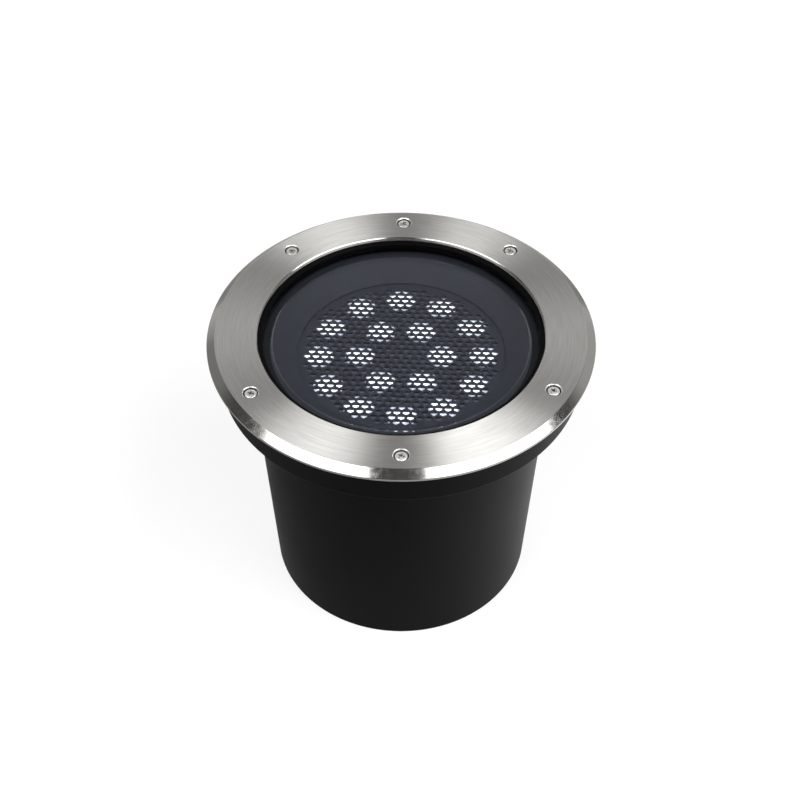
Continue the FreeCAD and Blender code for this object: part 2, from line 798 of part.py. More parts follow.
def earth_lead():
    """Wire from the terminal block's end, out and up to the earth lug's tail."""
    end = terminal_length / 2.0
    height = heat_floor_bottom - terminal_height / 2.0
    rise = end + earth_wire_reach
    points = [Vector(end, -terminal_offset, height), Vector(rise, -terminal_offset, height),
              Vector(rise, -terminal_offset, heat_floor_bottom - earth_lug_thickness)]
    return wire_tube(points, wire_radius)


# ---- bottom cover --------------------------------------------------------------------------------
def cover_screw_holes(bottom, top):
    """Cutters for the bottom cover's screws."""
    return [rod(cover_screw_radius + thread_gap, bottom - 1, top + 1, p)
            for p in ring_places(cover_boss_circle, cover_screw_count)]


def bottom_cover():
    """Plate that closes the driver chamber and carries the gland and the vent."""
    plate = rod(barrel_core_radius, cover_bottom, cover_top)
    holes = cover_screw_holes(cover_bottom, cover_top)
    holes.append(rod(gland_shank_radius + thread_gap, cover_bottom - 1, cover_top + 1))
    holes.append(rod(vent_shank_radius + thread_gap, cover_bottom - 1, cover_top + 1, vent_place))
    return plate.cut(holes)


def bottom_seal():
    """Flat gasket between the bottom cover and the barrel's foot."""
    inner = cover_boss_circle - cover_boss_radius - fit_gap
    ring = tube(barrel_core_radius, inner, cover_top, barrel_foot)
    return ring.cut(cover_screw_holes(cover_top, barrel_foot))


def bottom_screws():
    """Screws up through the bottom cover into the barrel's bosses."""
    screw = flipped(pan_screw(cover_bottom, cover_screw_head_radius, cover_screw_head_height,
                              cover_screw_radius, cover_screw_length), cover_bottom)
    return [moved(screw, p) for p in ring_places(cover_boss_circle, cover_screw_count)]


# ---- cable gland and vent ------------------------------------------------------------------------
def gland_body():
    """Gland: shank through the cover, a hexagon under it and a spigot for the nut."""
    solid = rod(gland_shank_radius, cover_bottom, cover_top + gland_inner_length)
    solid = solid.fuse([hexagon(gland_hex_flats, gland_hex_bottom, cover_bottom),
                        rod(gland_spigot_radius, gland_spigot_bottom, gland_hex_bottom)])
    return solid.cut(rod(gland_bore_radius, gland_spigot_bottom - 1, cover_top + gland_inner_length + 1))


def gland_locknut():
    """Hexagon nut that holds the gland from inside the chamber."""
    nut = hexagon(gland_hex_flats, cover_top, cover_top + gland_locknut_height)
    return nut.cut(rod(gland_shank_radius + thread_gap, cover_top - 1, cover_top + gland_locknut_height + 1))


def gland_seal():
    """Rubber sleeve that grips the supply cable."""
    return tube(gland_bore_radius - fit_gap, gland_seal_radius, gland_spigot_bottom,
                gland_spigot_bottom + gland_seal_length)


def gland_nut():
    """Domed nut that squeezes the seal."""
    mouth_top = gland_spigot_bottom - fit_gap
    nut = hexagon(gland_nut_flats, gland_nut_bottom, gland_nut_top)
    reach = gland_nut_flats / math.sqrt(3.0)
    slope = gland_nut_mouth_wall
    dome = turned([(0, gland_nut_bottom), (gland_nut_mouth_radius + gland_nut_mouth_wall, gland_nut_bottom),
                   (reach, gland_nut_bottom + slope), (reach, gland_nut_top), (0, gland_nut_top)])
    nut = nut.common(dome)
    return nut.cut([rod(gland_nut_mouth_radius, gland_nut_bottom - 1, gland_nut_top + 1),
                    rod(gland_spigot_radius + thread_gap, mouth_top, gland_nut_top + 1)])


def breather_valve():
    """Pressure vent screwed into the bottom cover."""
    head_bottom = cover_bottom - vent_head_height
    solid = hexagon(vent_head_flats, head_bottom, cover_bottom, vent_place)
    shank = rod(vent_shank_radius, cover_bottom, cover_top + vent_inner_length, vent_place)
    dimple = rod(vent_shank_radius / 2.0, head_bottom - 1, head_bottom + 1, vent_place)
    return solid.fuse(shank).cut(dimple)


# ---- every node ----------------------------------------------------------------------------------
def all_parts():
    """Each node's name and its solid, or the list of solids that share the node."""
    return {
        "sleeve_can": sleeve_can(),
        "sleeve_rim": sleeve_rim(),
        "rim_seal": rim_seal(),
        "lamp_housing": lamp_housing(),
        "driver_housing": driver_housing(),
        "glass_lens": glass_lens(),
        "glass_gasket": glass_gasket(),
        "baffle_ring": baffle_ring(),
        "honeycomb_louvre": honeycomb_louvre(),
        "lens_carrier": lens_carrier(),
        "lens_array": lens_array(),
        "led_board": led_board(),
        "led_chips": led_chips(),
        "thermal_pad": thermal_pad(),
        "board_screws": board_screws(),
        "led_driver": led_driver(),
        "driver_screws": driver_screws(),
        "terminal_block": terminal_block(),
        "earth_screw": earth_screw(),
        "lead_grommet": lead_grommet(),
        "led_lead_positive": led_lead(1),
        "led_lead_negative": led_lead(-1),
        "mains_lead_live": mains_lead(1),
        "mains_lead_neutral": mains_lead(-1),
        "earth_lead": earth_lead(),
        "bottom_cover": bottom_cover(),
        "bottom_seal": bottom_seal(),
        "bottom_screws": bottom_screws(),
        "gland_body": gland_body(),
        "gland_locknut": gland_locknut(),
        "gland_seal": gland_seal(),
        "gland_nut": gland_nut(),
        "breather_valve": breather_valve(),
        "trim_ring": trim_ring(),
        "trim_screws": trim_screws(),
        "trim_screw_washers": trim_screw_washers(),
    }


def main():
    """Builds and writes every node."""
    os.makedirs("parts", exist_ok=True)
    for name, made in all_parts().items():
        shape = Part.makeCompound(made) if isinstance(made, list) else made
        solids = shape.Solids
        valid = all(s.isValid() for s in solids)
        shape = solids[0] if len(solids) == 1 else Part.makeCompound(solids)
        shape.exportStep(os.path.join("parts", name + ".step"))
        print(f"{name}: {len(solids)} solid(s), {shape.Volume / 1000:.2f} cm3, valid {valid}")


main()
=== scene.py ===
"""Looks of an in-ground well light: brushed trim ring, glass, honeycomb louvre, lit optics and black sleeve.

Metres, +Z up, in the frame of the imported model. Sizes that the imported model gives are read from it,
and the others are fields of each sub-assembly's class, in millimetres times MM.
"""

import logging
import math
from dataclasses import dataclass
from enum import Enum
from typing import Sequence

import bmesh
import bpy
from mathutils import Euler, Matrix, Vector


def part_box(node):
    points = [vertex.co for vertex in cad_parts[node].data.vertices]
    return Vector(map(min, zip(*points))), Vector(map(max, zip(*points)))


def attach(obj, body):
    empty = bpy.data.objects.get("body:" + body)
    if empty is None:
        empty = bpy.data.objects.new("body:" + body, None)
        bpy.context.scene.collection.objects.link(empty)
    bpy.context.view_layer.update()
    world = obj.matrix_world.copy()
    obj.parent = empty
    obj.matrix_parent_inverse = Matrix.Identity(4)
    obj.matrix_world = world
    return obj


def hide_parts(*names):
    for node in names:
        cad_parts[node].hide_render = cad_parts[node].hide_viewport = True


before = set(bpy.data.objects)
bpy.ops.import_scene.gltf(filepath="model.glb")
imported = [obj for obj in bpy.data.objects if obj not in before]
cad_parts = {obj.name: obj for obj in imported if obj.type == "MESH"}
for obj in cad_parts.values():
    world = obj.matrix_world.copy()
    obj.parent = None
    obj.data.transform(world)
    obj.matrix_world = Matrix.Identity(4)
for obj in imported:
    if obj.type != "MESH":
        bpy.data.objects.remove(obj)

MM = 0.001
UP = Vector((0.0, 0.0, 1.0))
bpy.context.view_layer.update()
LOG = logging.getLogger("well_light")

Point = tuple[float, float]
Colour = tuple[float, float, float, float]
Socket = bpy.types.NodeSocket
Tree = bpy.types.NodeTree
Piece = bpy.types.Object


# ---- colours and nodes ---------------------------------------------------------------------------
def linear(colour: str) -> Colour:
    """Turns an sRGB hex colour into a linear one.

    Args:
        colour: six hex digits after a hash.

    Returns:
        Linear red, green and blue, and an alpha of 1.
    """
    shares = [int(colour[i:i + 2], 16) / 255.0 for i in (1, 3, 5)]
    red, green, blue = [s / 12.92 if s <= 0.04045 else ((s + 0.055) / 1.055) ** 2.4 for s in shares]
    return red, green, blue, 1.0


def shaded(colour: Colour, share: float) -> Colour:
    """Gives a share of a linear colour's brightness."""
    return colour[0] * share, colour[1] * share, colour[2] * share, 1.0


WHITE = linear("#FFFFFF")
WAVE_PERIOD = math.tau / 20     # metres from one wave to the next in a Wave Texture with a scale of 1


def add_node(tree: Tree, kind: str, inputs: dict | None = None, **settings: object) -> bpy.types.Node:
    """Adds a node with its settings, and sets or links its sockets.

    Args:
        tree: the node tree to add to.
        kind: the node's type name, without the ShaderNode that it starts with.
        inputs: a value, or another node's output socket, for each input by name or number.
        **settings: the node's own properties.

    Returns:
        The new node.
    """
    node = tree.nodes.new("ShaderNode" + kind)
    for name, value in settings.items():
        setattr(node, name, value)
    for name, value in (inputs or {}).items():
        if isinstance(value, bpy.types.NodeSocket):
            tree.links.new(value, node.inputs[name])
        else:
            node.inputs[name].default_value = value
    return node


# ---- finishes ------------------------------------------------------------------------------------
@dataclass(frozen=True)
class Finish:
    """What every finish has: the material's name, one material made from it, and the shader's last step."""

    name: str

    def material(self) -> bpy.types.Material:
        """Gives the finish's material, made the first time that it is asked for.

        Returns:
            The material.
        """
        made = bpy.data.materials.get(self.name)
        if made is None:
            made = bpy.data.materials.new(self.name)
            made.use_nodes = True
            tree = made.node_tree
            tree.nodes.clear()
            add_node(tree, "OutputMaterial", {"Surface": self.surface(tree)})
        return made

    def surface(self, tree: Tree) -> Socket:
        """Builds the finish's shader; each kind of finish has its own."""
        raise NotImplementedError

    def relieved(self, tree: Tree, height: Socket, strength: float, depth: float, inputs: dict,
                 edge: float = 0.0) -> Socket:
        """Builds the shader of a surface with a fine relief.

        Args:
            tree: the material's node tree.
            height: the relief's height, from 0 to 1.
            strength: how strongly the relief shows.
            depth: its real depth.
            inputs: the shader's other inputs.
            edge: the radius to which sharp corners seem rounded, or 0.

        Returns:
            The shader's output.
        """
        skin = add_node(tree, "Bump", {"Height": height, "Strength": strength, "Distance": depth})
        if edge > 0:
            corner = add_node(tree, "Bevel", {"Radius": edge}, samples=4)
            tree.links.new(corner.outputs[0], skin.inputs["Normal"])
        return add_node(tree, "BsdfPrincipled", {**inputs, "Normal": skin.outputs[0]}).outputs[0]


@dataclass(frozen=True)
class SteelWorkedRound(Finish):
    """Stainless steel worked while it turned: its lines run round the axis and stretch the light across."""

    colour: str = "#B4B2AE"
    roughness: float = 0.14
    roughness_spread: float = 0.03
    anisotropy: float = 0.3
    line_depth: float = 0.02 * MM

    def lined(self, tree: Tree, colour: Socket | Colour, lines: Socket, span: Point,
              strength: float) -> Socket:
        """Builds the metal from a pattern of lines.

        Args:
            tree: the material's node tree.
            colour: the metal's colour.
            lines: the pattern, from 0 to 1.
            span: the part of that range over which the roughness changes.
            strength: how strongly the lines stand out.

        Returns:
            The shader's output.
        """
        rough = add_node(tree, "MapRange", {
            "Value": lines, "From Min": span[0], "From Max": span[1],
            "To Min": self.roughness - self.roughness_spread,
            "To Max": self.roughness + self.roughness_spread})
        turn = add_node(tree, "Tangent", direction_type="RADIAL", axis="Z")
        return self.relieved(tree, lines, strength, self.line_depth, {
            "Base Color": colour, "Metallic": 1.0, "Roughness": rough.outputs[0],
            "Anisotropic": self.anisotropy, "Anisotropic Rotation": 0.25, "Tangent": turn.outputs[0]})


@dataclass(frozen=True)
class CircularBrushedSteel(SteelWorkedRound):
    """Stainless steel brushed in circles: light fans out across the lines, in two pairs of bright wedges.

    The lines of a 180 grit belt are about 0.08 mm apart, too fine to show, so they are drawn 0.8 mm apart.
    """

    colour: str = "#F3F1ED"
    roughness: float = 0.42
    anisotropy: float = 0.97
    line_spacing: float = 0.8 * MM
    line_arc: float = 0.20          # radians that a line runs before it fades
    shade_spread: float = 0.42

    def surface(self, tree: Tree) -> Socket:
        """Builds metal with streaks that run round the axis.

        Args:
            tree: the material's node tree.

        Returns:
            The shader's output.
        """
        place = add_node(tree, "TexCoord").outputs["Object"]
        flat = add_node(tree, "VectorMath", {0: place, 1: (1, 1, 0)}, operation="MULTIPLY")
        radius = add_node(tree, "VectorMath", {0: flat.outputs[0]}, operation="LENGTH")
        heading = add_node(tree, "VectorMath", {0: flat.outputs[0]}, operation="NORMALIZE")
        spread = add_node(tree, "VectorMath", {0: heading.outputs[0], "Scale": 1 / self.line_arc},
                          operation="SCALE")
        across = add_node(tree, "Math", {0: radius.outputs["Value"], 1: 1 / self.line_spacing},
                          operation="MULTIPLY")
        lift = add_node(tree, "CombineXYZ", {"Z": across.outputs[0]})
        streak_place = add_node(tree, "VectorMath", {0: spread.outputs[0], 1: lift.outputs[0]},
                                operation="ADD")
        streaks = add_node(tree, "TexNoise", {
            "Vector": streak_place.outputs[0], "Scale": 1.0, "Detail": 3.0, "Roughness": 0.6}).outputs["Fac"]
        bright = linear(self.colour)
        tone = add_node(tree, "Mix", {"Factor": streaks, 6: shaded(bright, 1 - self.shade_spread), 7: bright},
                        data_type="RGBA")
        return self.lined(tree, tone.outputs[2], streaks, (0.3, 0.7), 0.20)


@dataclass(frozen=True)
class TurnedSteel(SteelWorkedRound):
    """Stainless steel as a lathe tool leaves it: nearly a mirror, with sharp edges between light and dark.

    The tool's feed is about 0.1 mm a turn, too fine to show: the stretched light stands for its lines, over
    an unevenness drawn about 3 mm wide.
    """

    unevenness: float = 3.0 * MM

    def surface(self, tree: Tree) -> Socket:
        """Builds smooth metal with faint tool lines.

        Args:
            tree: the material's node tree.

        Returns:
            The shader's output.
        """
        place = add_node(tree, "TexCoord").outputs["Object"]
        lines = add_node(tree, "TexNoise", {"Vector": place, "Scale": 1 / self.unevenness, "Detail": 4.0})
        return self.lined(tree, linear(self.colour), lines.outputs["Fac"], (0.35, 0.65), 0.05)


@dataclass(frozen=True)
class BarrelledSteel(Finish):
    """Steel screws from a tumbling barrel: bright and softly dimpled at about 1 mm, with painted shade that
    greys the recess.
    """

    colour: str = "#EAE8E4"
    # painted shade: the colour painted into recesses and corners, and how far from a wall ambient occlusion
    # finds them
    recess_shade: str = "#26231F"
    roughness: float = 0.40
    dimple: float = 0.9 * MM
    dimple_depth: float = 0.05 * MM
    recess_shade_reach: float = 1.2 * MM

    def surface(self, tree: Tree) -> Socket:
        """Builds bright metal with painted shade darkening its corners.

        Args:
            tree: the material's node tree.

        Returns:
            The shader's output.
        """
        place = add_node(tree, "TexCoord").outputs["Object"]
        dimples = add_node(tree, "TexNoise", {
            "Vector": place, "Scale": 1 / self.dimple, "Detail": 2.0}).outputs["Fac"]
        # Painted shade: ambient occlusion darkens the metal's colour in its recess and corners.
        corner = add_node(tree, "AmbientOcclusion", {"Distance": self.recess_shade_reach}, samples=6)
        unshaded = add_node(tree, "MapRange", {
            "Value": corner.outputs["AO"], "From Min": 0.35, "From Max": 0.75})
        tone = add_node(tree, "Mix", {"Factor": unshaded.outputs[0], 6: linear(self.recess_shade),
                                      7: linear(self.colour)}, data_type="RGBA")
        rough = add_node(tree, "MapRange", {
            "Value": dimples, "To Min": self.roughness - 0.06, "To Max": self.roughness + 0.08})
        return self.relieved(tree, dimples, 0.15, self.dimple_depth, {
            "Base Color": tone.outputs[2], "Metallic": 1.0, "Roughness": rough.outputs[0]})


@dataclass(frozen=True)
class GrainedSkin(Finish):
    """A coloured skin with a fine grain, whose shade and gloss change with the grain or in slow clouds."""

    colour: str = "#0E0E10"
    thin_shade: float = 0.85        # how dark the colour gets where the skin is thin
    roughness: float = 0.45
    roughness_spread: float = 0.06
    specular: float = 0.4
    grain: float = 0.4 * MM
    detail: float = 2.0
    relief: float = 0.02 * MM
    relief_strength: float = 0.25
    clouds: float = 0.0             # clouds in a metre; with none, shade and gloss follow the grain
    edge: float = 0.0

    def surface(self, tree: Tree) -> Socket:
        """Builds the skin.

        Args:
            tree: the material's node tree.

        Returns:
            The shader's output.
        """
        place = add_node(tree, "TexCoord").outputs["Object"]
        grain = shade = add_node(tree, "TexNoise", {
            "Vector": place, "Scale": 1 / self.grain, "Detail": self.detail}).outputs["Fac"]
        if self.clouds > 0:
            shade = add_node(tree, "TexNoise", {
                "Vector": place, "Scale": self.clouds, "Detail": self.detail}).outputs["Fac"]
        full = linear(self.colour)
        tone = add_node(tree, "Mix", {"Factor": shade, 6: shaded(full, self.thin_shade), 7: full},
                        data_type="RGBA")
        rough = add_node(tree, "MapRange", {
            "Value": shade, "To Min": self.roughness - self.roughness_spread,
            "To Max": self.roughness + self.roughness_spread})
        return self.relieved(tree, grain, self.relief_strength, self.relief, {
            "Base Color": tone.outputs[2], "Roughness": rough.outputs[0],
            "Specular IOR Level": self.specular}, self.edge)


@dataclass(frozen=True)
class Coating(GrainedSkin):
    """Black powder coat on aluminium: nearly matt, with the fine orange peel of baked powder.

    Real orange peel is about 0.6 mm from bump to bump, too fine to show, so it is drawn at 0.9 mm or more.
    With edge set, the coat also rounds sharp corners, as it does on a casting.
    """

    colour: str = "#040405"
    thin_shade: float = 0.82
    roughness: float = 0.42
    roughness_spread: float = 0.05
    specular: float = 0.08
    grain: float = 0.9 * MM
    detail: float = 3.0
    relief: float = 0.05 * MM
    relief_strength: float = 0.35
    clouds: float = 14.0


@dataclass(frozen=True)
class MouldedPolymer(GrainedSkin):
    """Plastic or rubber from a mould: the mould's spark-eroded grain, about 0.15 mm, drawn at 0.4 mm.

    A low specular level is a dull rubber; a higher one is ABS or nylon with its slight shine.
    """


@dataclass(frozen=True)
class FloatGlass(Finish):
    """Toughened float glass: clear, with a faint cool tint that only its thickness shows."""

    colour: str = "#F3F5FA"
    ior: float = 1.5

    def surface(self, tree: Tree) -> Socket:
        """Builds clear glass that lets the lamps light what lies under it.

        Args:
            tree: the material's node tree.

        Returns:
            The shader's output.
        """
        glass = add_node(tree, "BsdfPrincipled", {
            "Base Color": linear(self.colour), "Roughness": 0.0, "IOR": self.ior, "Transmission Weight": 1.0})
        clear = add_node(tree, "BsdfTransparent", {"Color": linear(self.colour)})
        path = add_node(tree, "LightPath")
        return add_node(tree, "MixShader", {
            "Fac": path.outputs["Is Shadow Ray"], 1: glass.outputs[0], 2: clear.outputs[0]}).outputs[0]


@dataclass(frozen=True)
class LitAcrylic(Finish):
    """A moulded acrylic collimator with its emitter on: white in its middle, cooler and dimmer outside."""

    colour: str = "#E8EDF2"
    middle: str = "#FFFFFF"
    border: str = "#D3D9F4"
    ior: float = 1.49
    strength: float = 1.5
    border_strength: float = 0.12
    reach: float = 9.7 * MM
    soft_share: float = 0.88        # share of the reach at which the light starts to fall
    squash: float = 1.40            # the lit patch is this much wider than deep
    facet: float = 1.2 * MM
    facet_depth: float = 0.1 * MM

    def surface(self, tree: Tree) -> Socket:
        """Builds a glowing lens whose light falls off from its own axis.

        Args:
            tree: the material's node tree.

        Returns:
            The shader's output.
        """
        place = add_node(tree, "TexCoord").outputs["Object"]
        flat = add_node(tree, "VectorMath", {0: place, 1: (1, self.squash, 0)}, operation="MULTIPLY")
        radius = add_node(tree, "VectorMath", {0: flat.outputs[0]}, operation="LENGTH")
        out = add_node(tree, "MapRange", {
            "Value": radius.outputs["Value"], "From Min": self.soft_share * self.reach,
            "From Max": self.reach}, interpolation_type="SMOOTHSTEP")
        tone = add_node(tree, "Mix", {"Factor": out.outputs[0], 6: linear(self.middle),
                                      7: linear(self.border)}, data_type="RGBA")
        glow = add_node(tree, "MapRange", {
            "Value": out.outputs[0], "To Min": self.strength, "To Max": self.border_strength})
        facets = add_node(tree, "TexVoronoi", {"Vector": place, "Scale": 1 / self.facet})
        return self.relieved(tree, facets.outputs["Distance"], 0.3, self.facet_depth, {
            "Base Color": linear(self.colour), "Roughness": 0.12, "IOR": self.ior,
            "Emission Color": tone.outputs[2], "Emission Strength": glow.outputs[0]})


@dataclass(frozen=True)
class CircuitBoard(Finish):
    """White solder mask over copper: its broad areas, about 15 mm wide, show through as darker rings."""

    mask: str = "#E9EAE6"
    track: str = "#D5D8CF"
    pitch: float = math.tau * 5.0 * MM      # 31 mm from ring to ring
    track_height: float = 0.04 * MM

    def surface(self, tree: Tree) -> Socket:
        """Builds a board with rings of covered track.

        Args:
            tree: the material's node tree.

        Returns:
            The shader's output.
        """
        place = add_node(tree, "TexCoord").outputs["Object"]
        tracks = add_node(tree, "TexWave", {
            "Vector": place, "Scale": WAVE_PERIOD / self.pitch, "Distortion": 1.5, "Detail": 1.0},
            wave_type="RINGS", rings_direction="Z")
        step = add_node(tree, "MapRange", {"Value": tracks.outputs["Fac"], "From Min": 0.45,
                                           "From Max": 0.55}).outputs[0]
        tone = add_node(tree, "Mix", {"Factor": step, 6: linear(self.mask), 7: linear(self.track)},
                        data_type="RGBA")
        return self.relieved(tree, step, 0.5, self.track_height,
                             {"Base Color": tone.outputs[2], "Roughness": 0.35})


@dataclass(frozen=True)
class Phosphor(Finish):
    """An emitter's phosphor under silicone: yellow when off, and here lit to a warm white."""

    colour: str = "#F2DE86"
    glow: str = "#FFF9EC"
    strength: float = 1.6
    grain: float = 0.3 * MM

    def surface(self, tree: Tree) -> Socket:
        """Builds glossy silicone over glowing phosphor grains.

        Args:
            tree: the material's node tree.

        Returns:
            The shader's output.
        """
        place = add_node(tree, "TexCoord").outputs["Object"]
        grains = add_node(tree, "TexNoise", {"Vector": place, "Scale": 1 / self.grain})
        glow = add_node(tree, "MapRange", {
            "Value": grains.outputs["Fac"], "To Min": 0.8 * self.strength, "To Max": self.strength})
        return add_node(tree, "BsdfPrincipled", {
            "Base Color": linear(self.colour), "Roughness": 0.15, "Emission Color": linear(self.glow),
            "Emission Strength": glow.outputs[0]}).outputs[0]


@dataclass(frozen=True)
class WireJacket(Finish):
    """Extruded PVC: smooth and slightly waxy; an earth wire has a second colour in stripes along it.

    Real stripes are about 2 mm apart; these are drawn 7 mm apart.
    """

    colour: str = "#202022"
    stripe: str = ""
    stripe_pitch: float = math.tau * 1.1 * MM

    def surface(self, tree: Tree) -> Socket:
        """Builds a waxy jacket, striped where a second colour is given.

        Args:
            tree: the material's node tree.

        Returns:
            The shader's output.
        """
        place = add_node(tree, "TexCoord").outputs["Object"]
        bands = add_node(tree, "TexWave", {"Vector": place, "Scale": WAVE_PERIOD / self.stripe_pitch},
                         wave_type="BANDS", bands_direction="Y")
        step = add_node(tree, "MapRange", {"Value": bands.outputs["Fac"], "From Min": 0.45, "From Max": 0.55})
        full = linear(self.colour)
        other = linear(self.stripe) if self.stripe else shaded(full, 0.9)
        tone = add_node(tree, "Mix", {"Factor": step.outputs[0], 6: full, 7: other}, data_type="RGBA")
        return add_node(tree, "BsdfPrincipled", {
            "Base Color": tone.outputs[2], "Roughness": 0.38, "Specular IOR Level": 0.45}).outputs[0]


BRUSHED_TRIM = CircularBrushedSteel("stainless_circular_brushed")
TURNED_TRIM = TurnedSteel("stainless_turned")
# The screws carry painted shade in their recesses: nearly black on the stainless ones, grey on the zinc ones.
SCREW_STEEL = BarrelledSteel("stainless_barrelled_screw", recess_shade="#0C0B0A")
ZINC_SCREW = BarrelledSteel("steel_zinc_plated", colour="#C9CDD0", recess_shade="#6B6C68", roughness=0.28)
SLEEVE_COAT = Coating("aluminium_powder_coat_matt")
CASTING_COAT = Coating("aluminium_die_cast_coated", colour="#242528", roughness=0.58, specular=0.35,
                       grain=1.2 * MM, relief=0.09 * MM, edge=0.6 * MM)
GLASS = FloatGlass("toughened_float_glass")
GASKET_RUBBER = MouldedPolymer("silicone_rubber_black", colour="#030304", roughness=0.5, specular=0.06)
LOUVRE_PLASTIC = MouldedPolymer("abs_moulded_black", colour="#24262B", roughness=0.5, specular=0.15)
CARRIER_PLASTIC = MouldedPolymer("polycarbonate_moulded_grey", colour="#5A5D67", roughness=0.5, specular=0.3)
GLAND_NYLON = MouldedPolymer("nylon_moulded_black", colour="#161617", roughness=0.42, specular=0.5,
                             edge=0.5 * MM)
DRIVER_CASE = MouldedPolymer("polycarbonate_moulded_pale_grey", colour="#D2D2CD", roughness=0.5,
                             edge=0.5 * MM)
TERMINAL_NYLON = MouldedPolymer("nylon_moulded_natural", colour="#DCD9CC", roughness=0.4, edge=0.4 * MM)
THERMAL_SHEET = MouldedPolymer("silicone_thermal_sheet_grey", colour="#7C8186", roughness=0.7, specular=0.3)
LIT_LENS = LitAcrylic("acrylic_collimator_lit")
BOARD_MASK = CircuitBoard("solder_mask_white")
LED_PHOSPHOR = Phosphor("led_phosphor_lit")


class WireColour(Enum):
    """The jackets of the wires inside the lamp, by node: colour, stripe and record slot."""

    led_lead_positive = ("#A31616", "", "red_wire")
    led_lead_negative = ("#202022", "", "black_wire")
    mains_lead_live = ("#5C3A22", "", "brown_wire")
    mains_lead_neutral = ("#1F4FA3", "", "blue_wire")
    earth_lead = ("#2E8B3A", "#E3C92B", "green_yellow_wire")


# ---- mesh helpers --------------------------------------------------------------------------------
@dataclass(frozen=True)
class Corner:
    """One corner of a turned outline, in metres, and the material slot of the run that follows it."""

    radius: float
    height: float
    fillet: float = 0.0
    skin: int = 0


SMOOTH_LIMIT = math.radians(32)
ARC_STEPS = 5                   # in a fillet
ROUND_STEPS = 256               # sides of what is turned about the light's own axis
SMALL_STEPS = 64                # sides of a screw or a lens
HOLE_STEPS = 48
ON_AXIS = 1e-9                  # a smaller radius is a point on the axis
TOUCH = 0.01 * MM               # corners closer than this are one
OVERCUT = 1.0 * MM              # how far a cutter stands out of what it cuts


def rounded(corners: Sequence[Corner]) -> tuple[list[Point], list[int]]:
    """Rounds an outline's corners by their fillets.

    Args:
        corners: the outline's corners in order, closed from the last to the first.

    Returns:
        The outline's points, and the material slot of the run after each.
    """
    points, skins = [], []
    for before, corner, after in zip(corners[-1:] + corners[:-1], corners, corners[1:] + corners[:1]):
        here = Vector((corner.radius, corner.height))
        if corner.fillet <= 0:
            points.append(tuple(here))
            skins.append(corner.skin)
            continue
        back = (Vector((before.radius, before.height)) - here).normalized()
        on = (Vector((after.radius, after.height)) - here).normalized()
        half = back.angle(on) / 2
        centre = here + (back + on).normalized() * (corner.fillet / math.sin(half))
        start = here + back * (corner.fillet / math.tan(half)) - centre
        sweep = math.copysign(math.pi - 2 * half, back.x * on.y - back.y * on.x) * -1
        for step in range(ARC_STEPS + 1):
            turn = math.atan2(start.y, start.x) + sweep * step / ARC_STEPS
            points.append((centre.x + corner.fillet * math.cos(turn),
                           centre.y + corner.fillet * math.sin(turn)))
            skins.append(corner.skin)
    return points, skins


def finish_mesh(name: str, shape: bmesh.types.BMesh, smooth: bool = True) -> Piece:
    """Makes an object of a mesh, smooth but for its real edges.

    Args:
        name: the object's name.
        shape: the mesh, which is freed.
        smooth: whether its faces are shaded smooth.

    Returns:
        The object.
    """
    bmesh.ops.recalc_face_normals(shape, faces=shape.faces)
    for face in shape.faces:
        face.smooth = smooth
    mesh = bpy.data.meshes.new(name)
    shape.to_mesh(mesh)
    shape.free()
    piece = bpy.data.objects.new(name, mesh)
    bpy.context.scene.collection.objects.link(piece)
    return piece


def soften(piece: Piece) -> None:
    """Marks a piece's real edges sharp and evens out the shading of its flats.

    Args:
        piece: the piece, whose mesh may be shared with others.
    """
    piece.data.set_sharp_from_angle(angle=SMOOTH_LIMIT)
    even = piece.modifiers.new("even_flats", "WEIGHTED_NORMAL")
    even.keep_sharp = True


def turned(name: str, corners: Sequence[Corner], steps: int = ROUND_STEPS,
           centre: Point = (0.0, 0.0)) -> Piece:
    """Turns an outline about an upright axis into a closed mesh.

    Args:
        name: the object's name.
        corners: the outline's corners, closed; a run on the axis is left out.
        steps: sides round the axis.
        centre: the axis in plan.

    Returns:
        The object.
    """
    points, skins = rounded(list(corners))
    shape = bmesh.new()
    rings = []
    for radius, height in points:
        turns = [math.tau * i / steps for i in range(steps if radius > ON_AXIS else 1)]
        rings.append([shape.verts.new((centre[0] + radius * math.cos(a), centre[1] + radius * math.sin(a),
                                       height)) for a in turns])
    for ring, other, skin in zip(rings, rings[1:] + rings[:1], skins):
        if len(ring) == len(other) == 1:
            continue
        for i in range(steps):
            j = (i + 1) % steps
            loop = [ring[i % len(ring)], ring[j % len(ring)], other[j % len(other)], other[i % len(other)]]
            face = shape.faces.new(list(dict.fromkeys(loop)))
            face.material_index = skin
    return finish_mesh(name, shape)


def carve(piece: Piece, cutter: Piece) -> None:
    """Cuts one closed mesh out of another, and deletes the cutter.

    Args:
        piece: what is cut; its new faces take the cutter's material slots by number.
        cutter: what is taken away.
    """
    cut = piece.modifiers.new("cut", "BOOLEAN")
    cut.object = cutter
    cut.solver = "EXACT"
    cut.material_mode = "INDEX"
    done = piece.evaluated_get(bpy.context.evaluated_depsgraph_get())
    mesh = bpy.data.meshes.new_from_object(done)
    piece.modifiers.remove(cut)
    piece.data = mesh
    bpy.data.objects.remove(cutter)


def joined(name: str, parts: Sequence[Piece]) -> Piece:
    """Puts several meshes into one object and deletes the rest.

    Args:
        name: the object's name.
        parts: what is joined; each keeps its place.

    Returns:
        The object.
    """
    shape = bmesh.new()
    for part in parts:
        part.data.transform(part.matrix_world)
        shape.from_mesh(part.data)
        bpy.data.objects.remove(part)
    return finish_mesh(name, shape)


def wall(shape: bmesh.types.BMesh, ring: Sequence[bmesh.types.BMVert],
         other: Sequence[bmesh.types.BMVert]) -> None:
    """Joins two rings of corners with one face for each side."""
    for i, corner in enumerate(ring):
        j = (i + 1) % len(ring)
        shape.faces.new([corner, ring[j], other[j], other[i]])


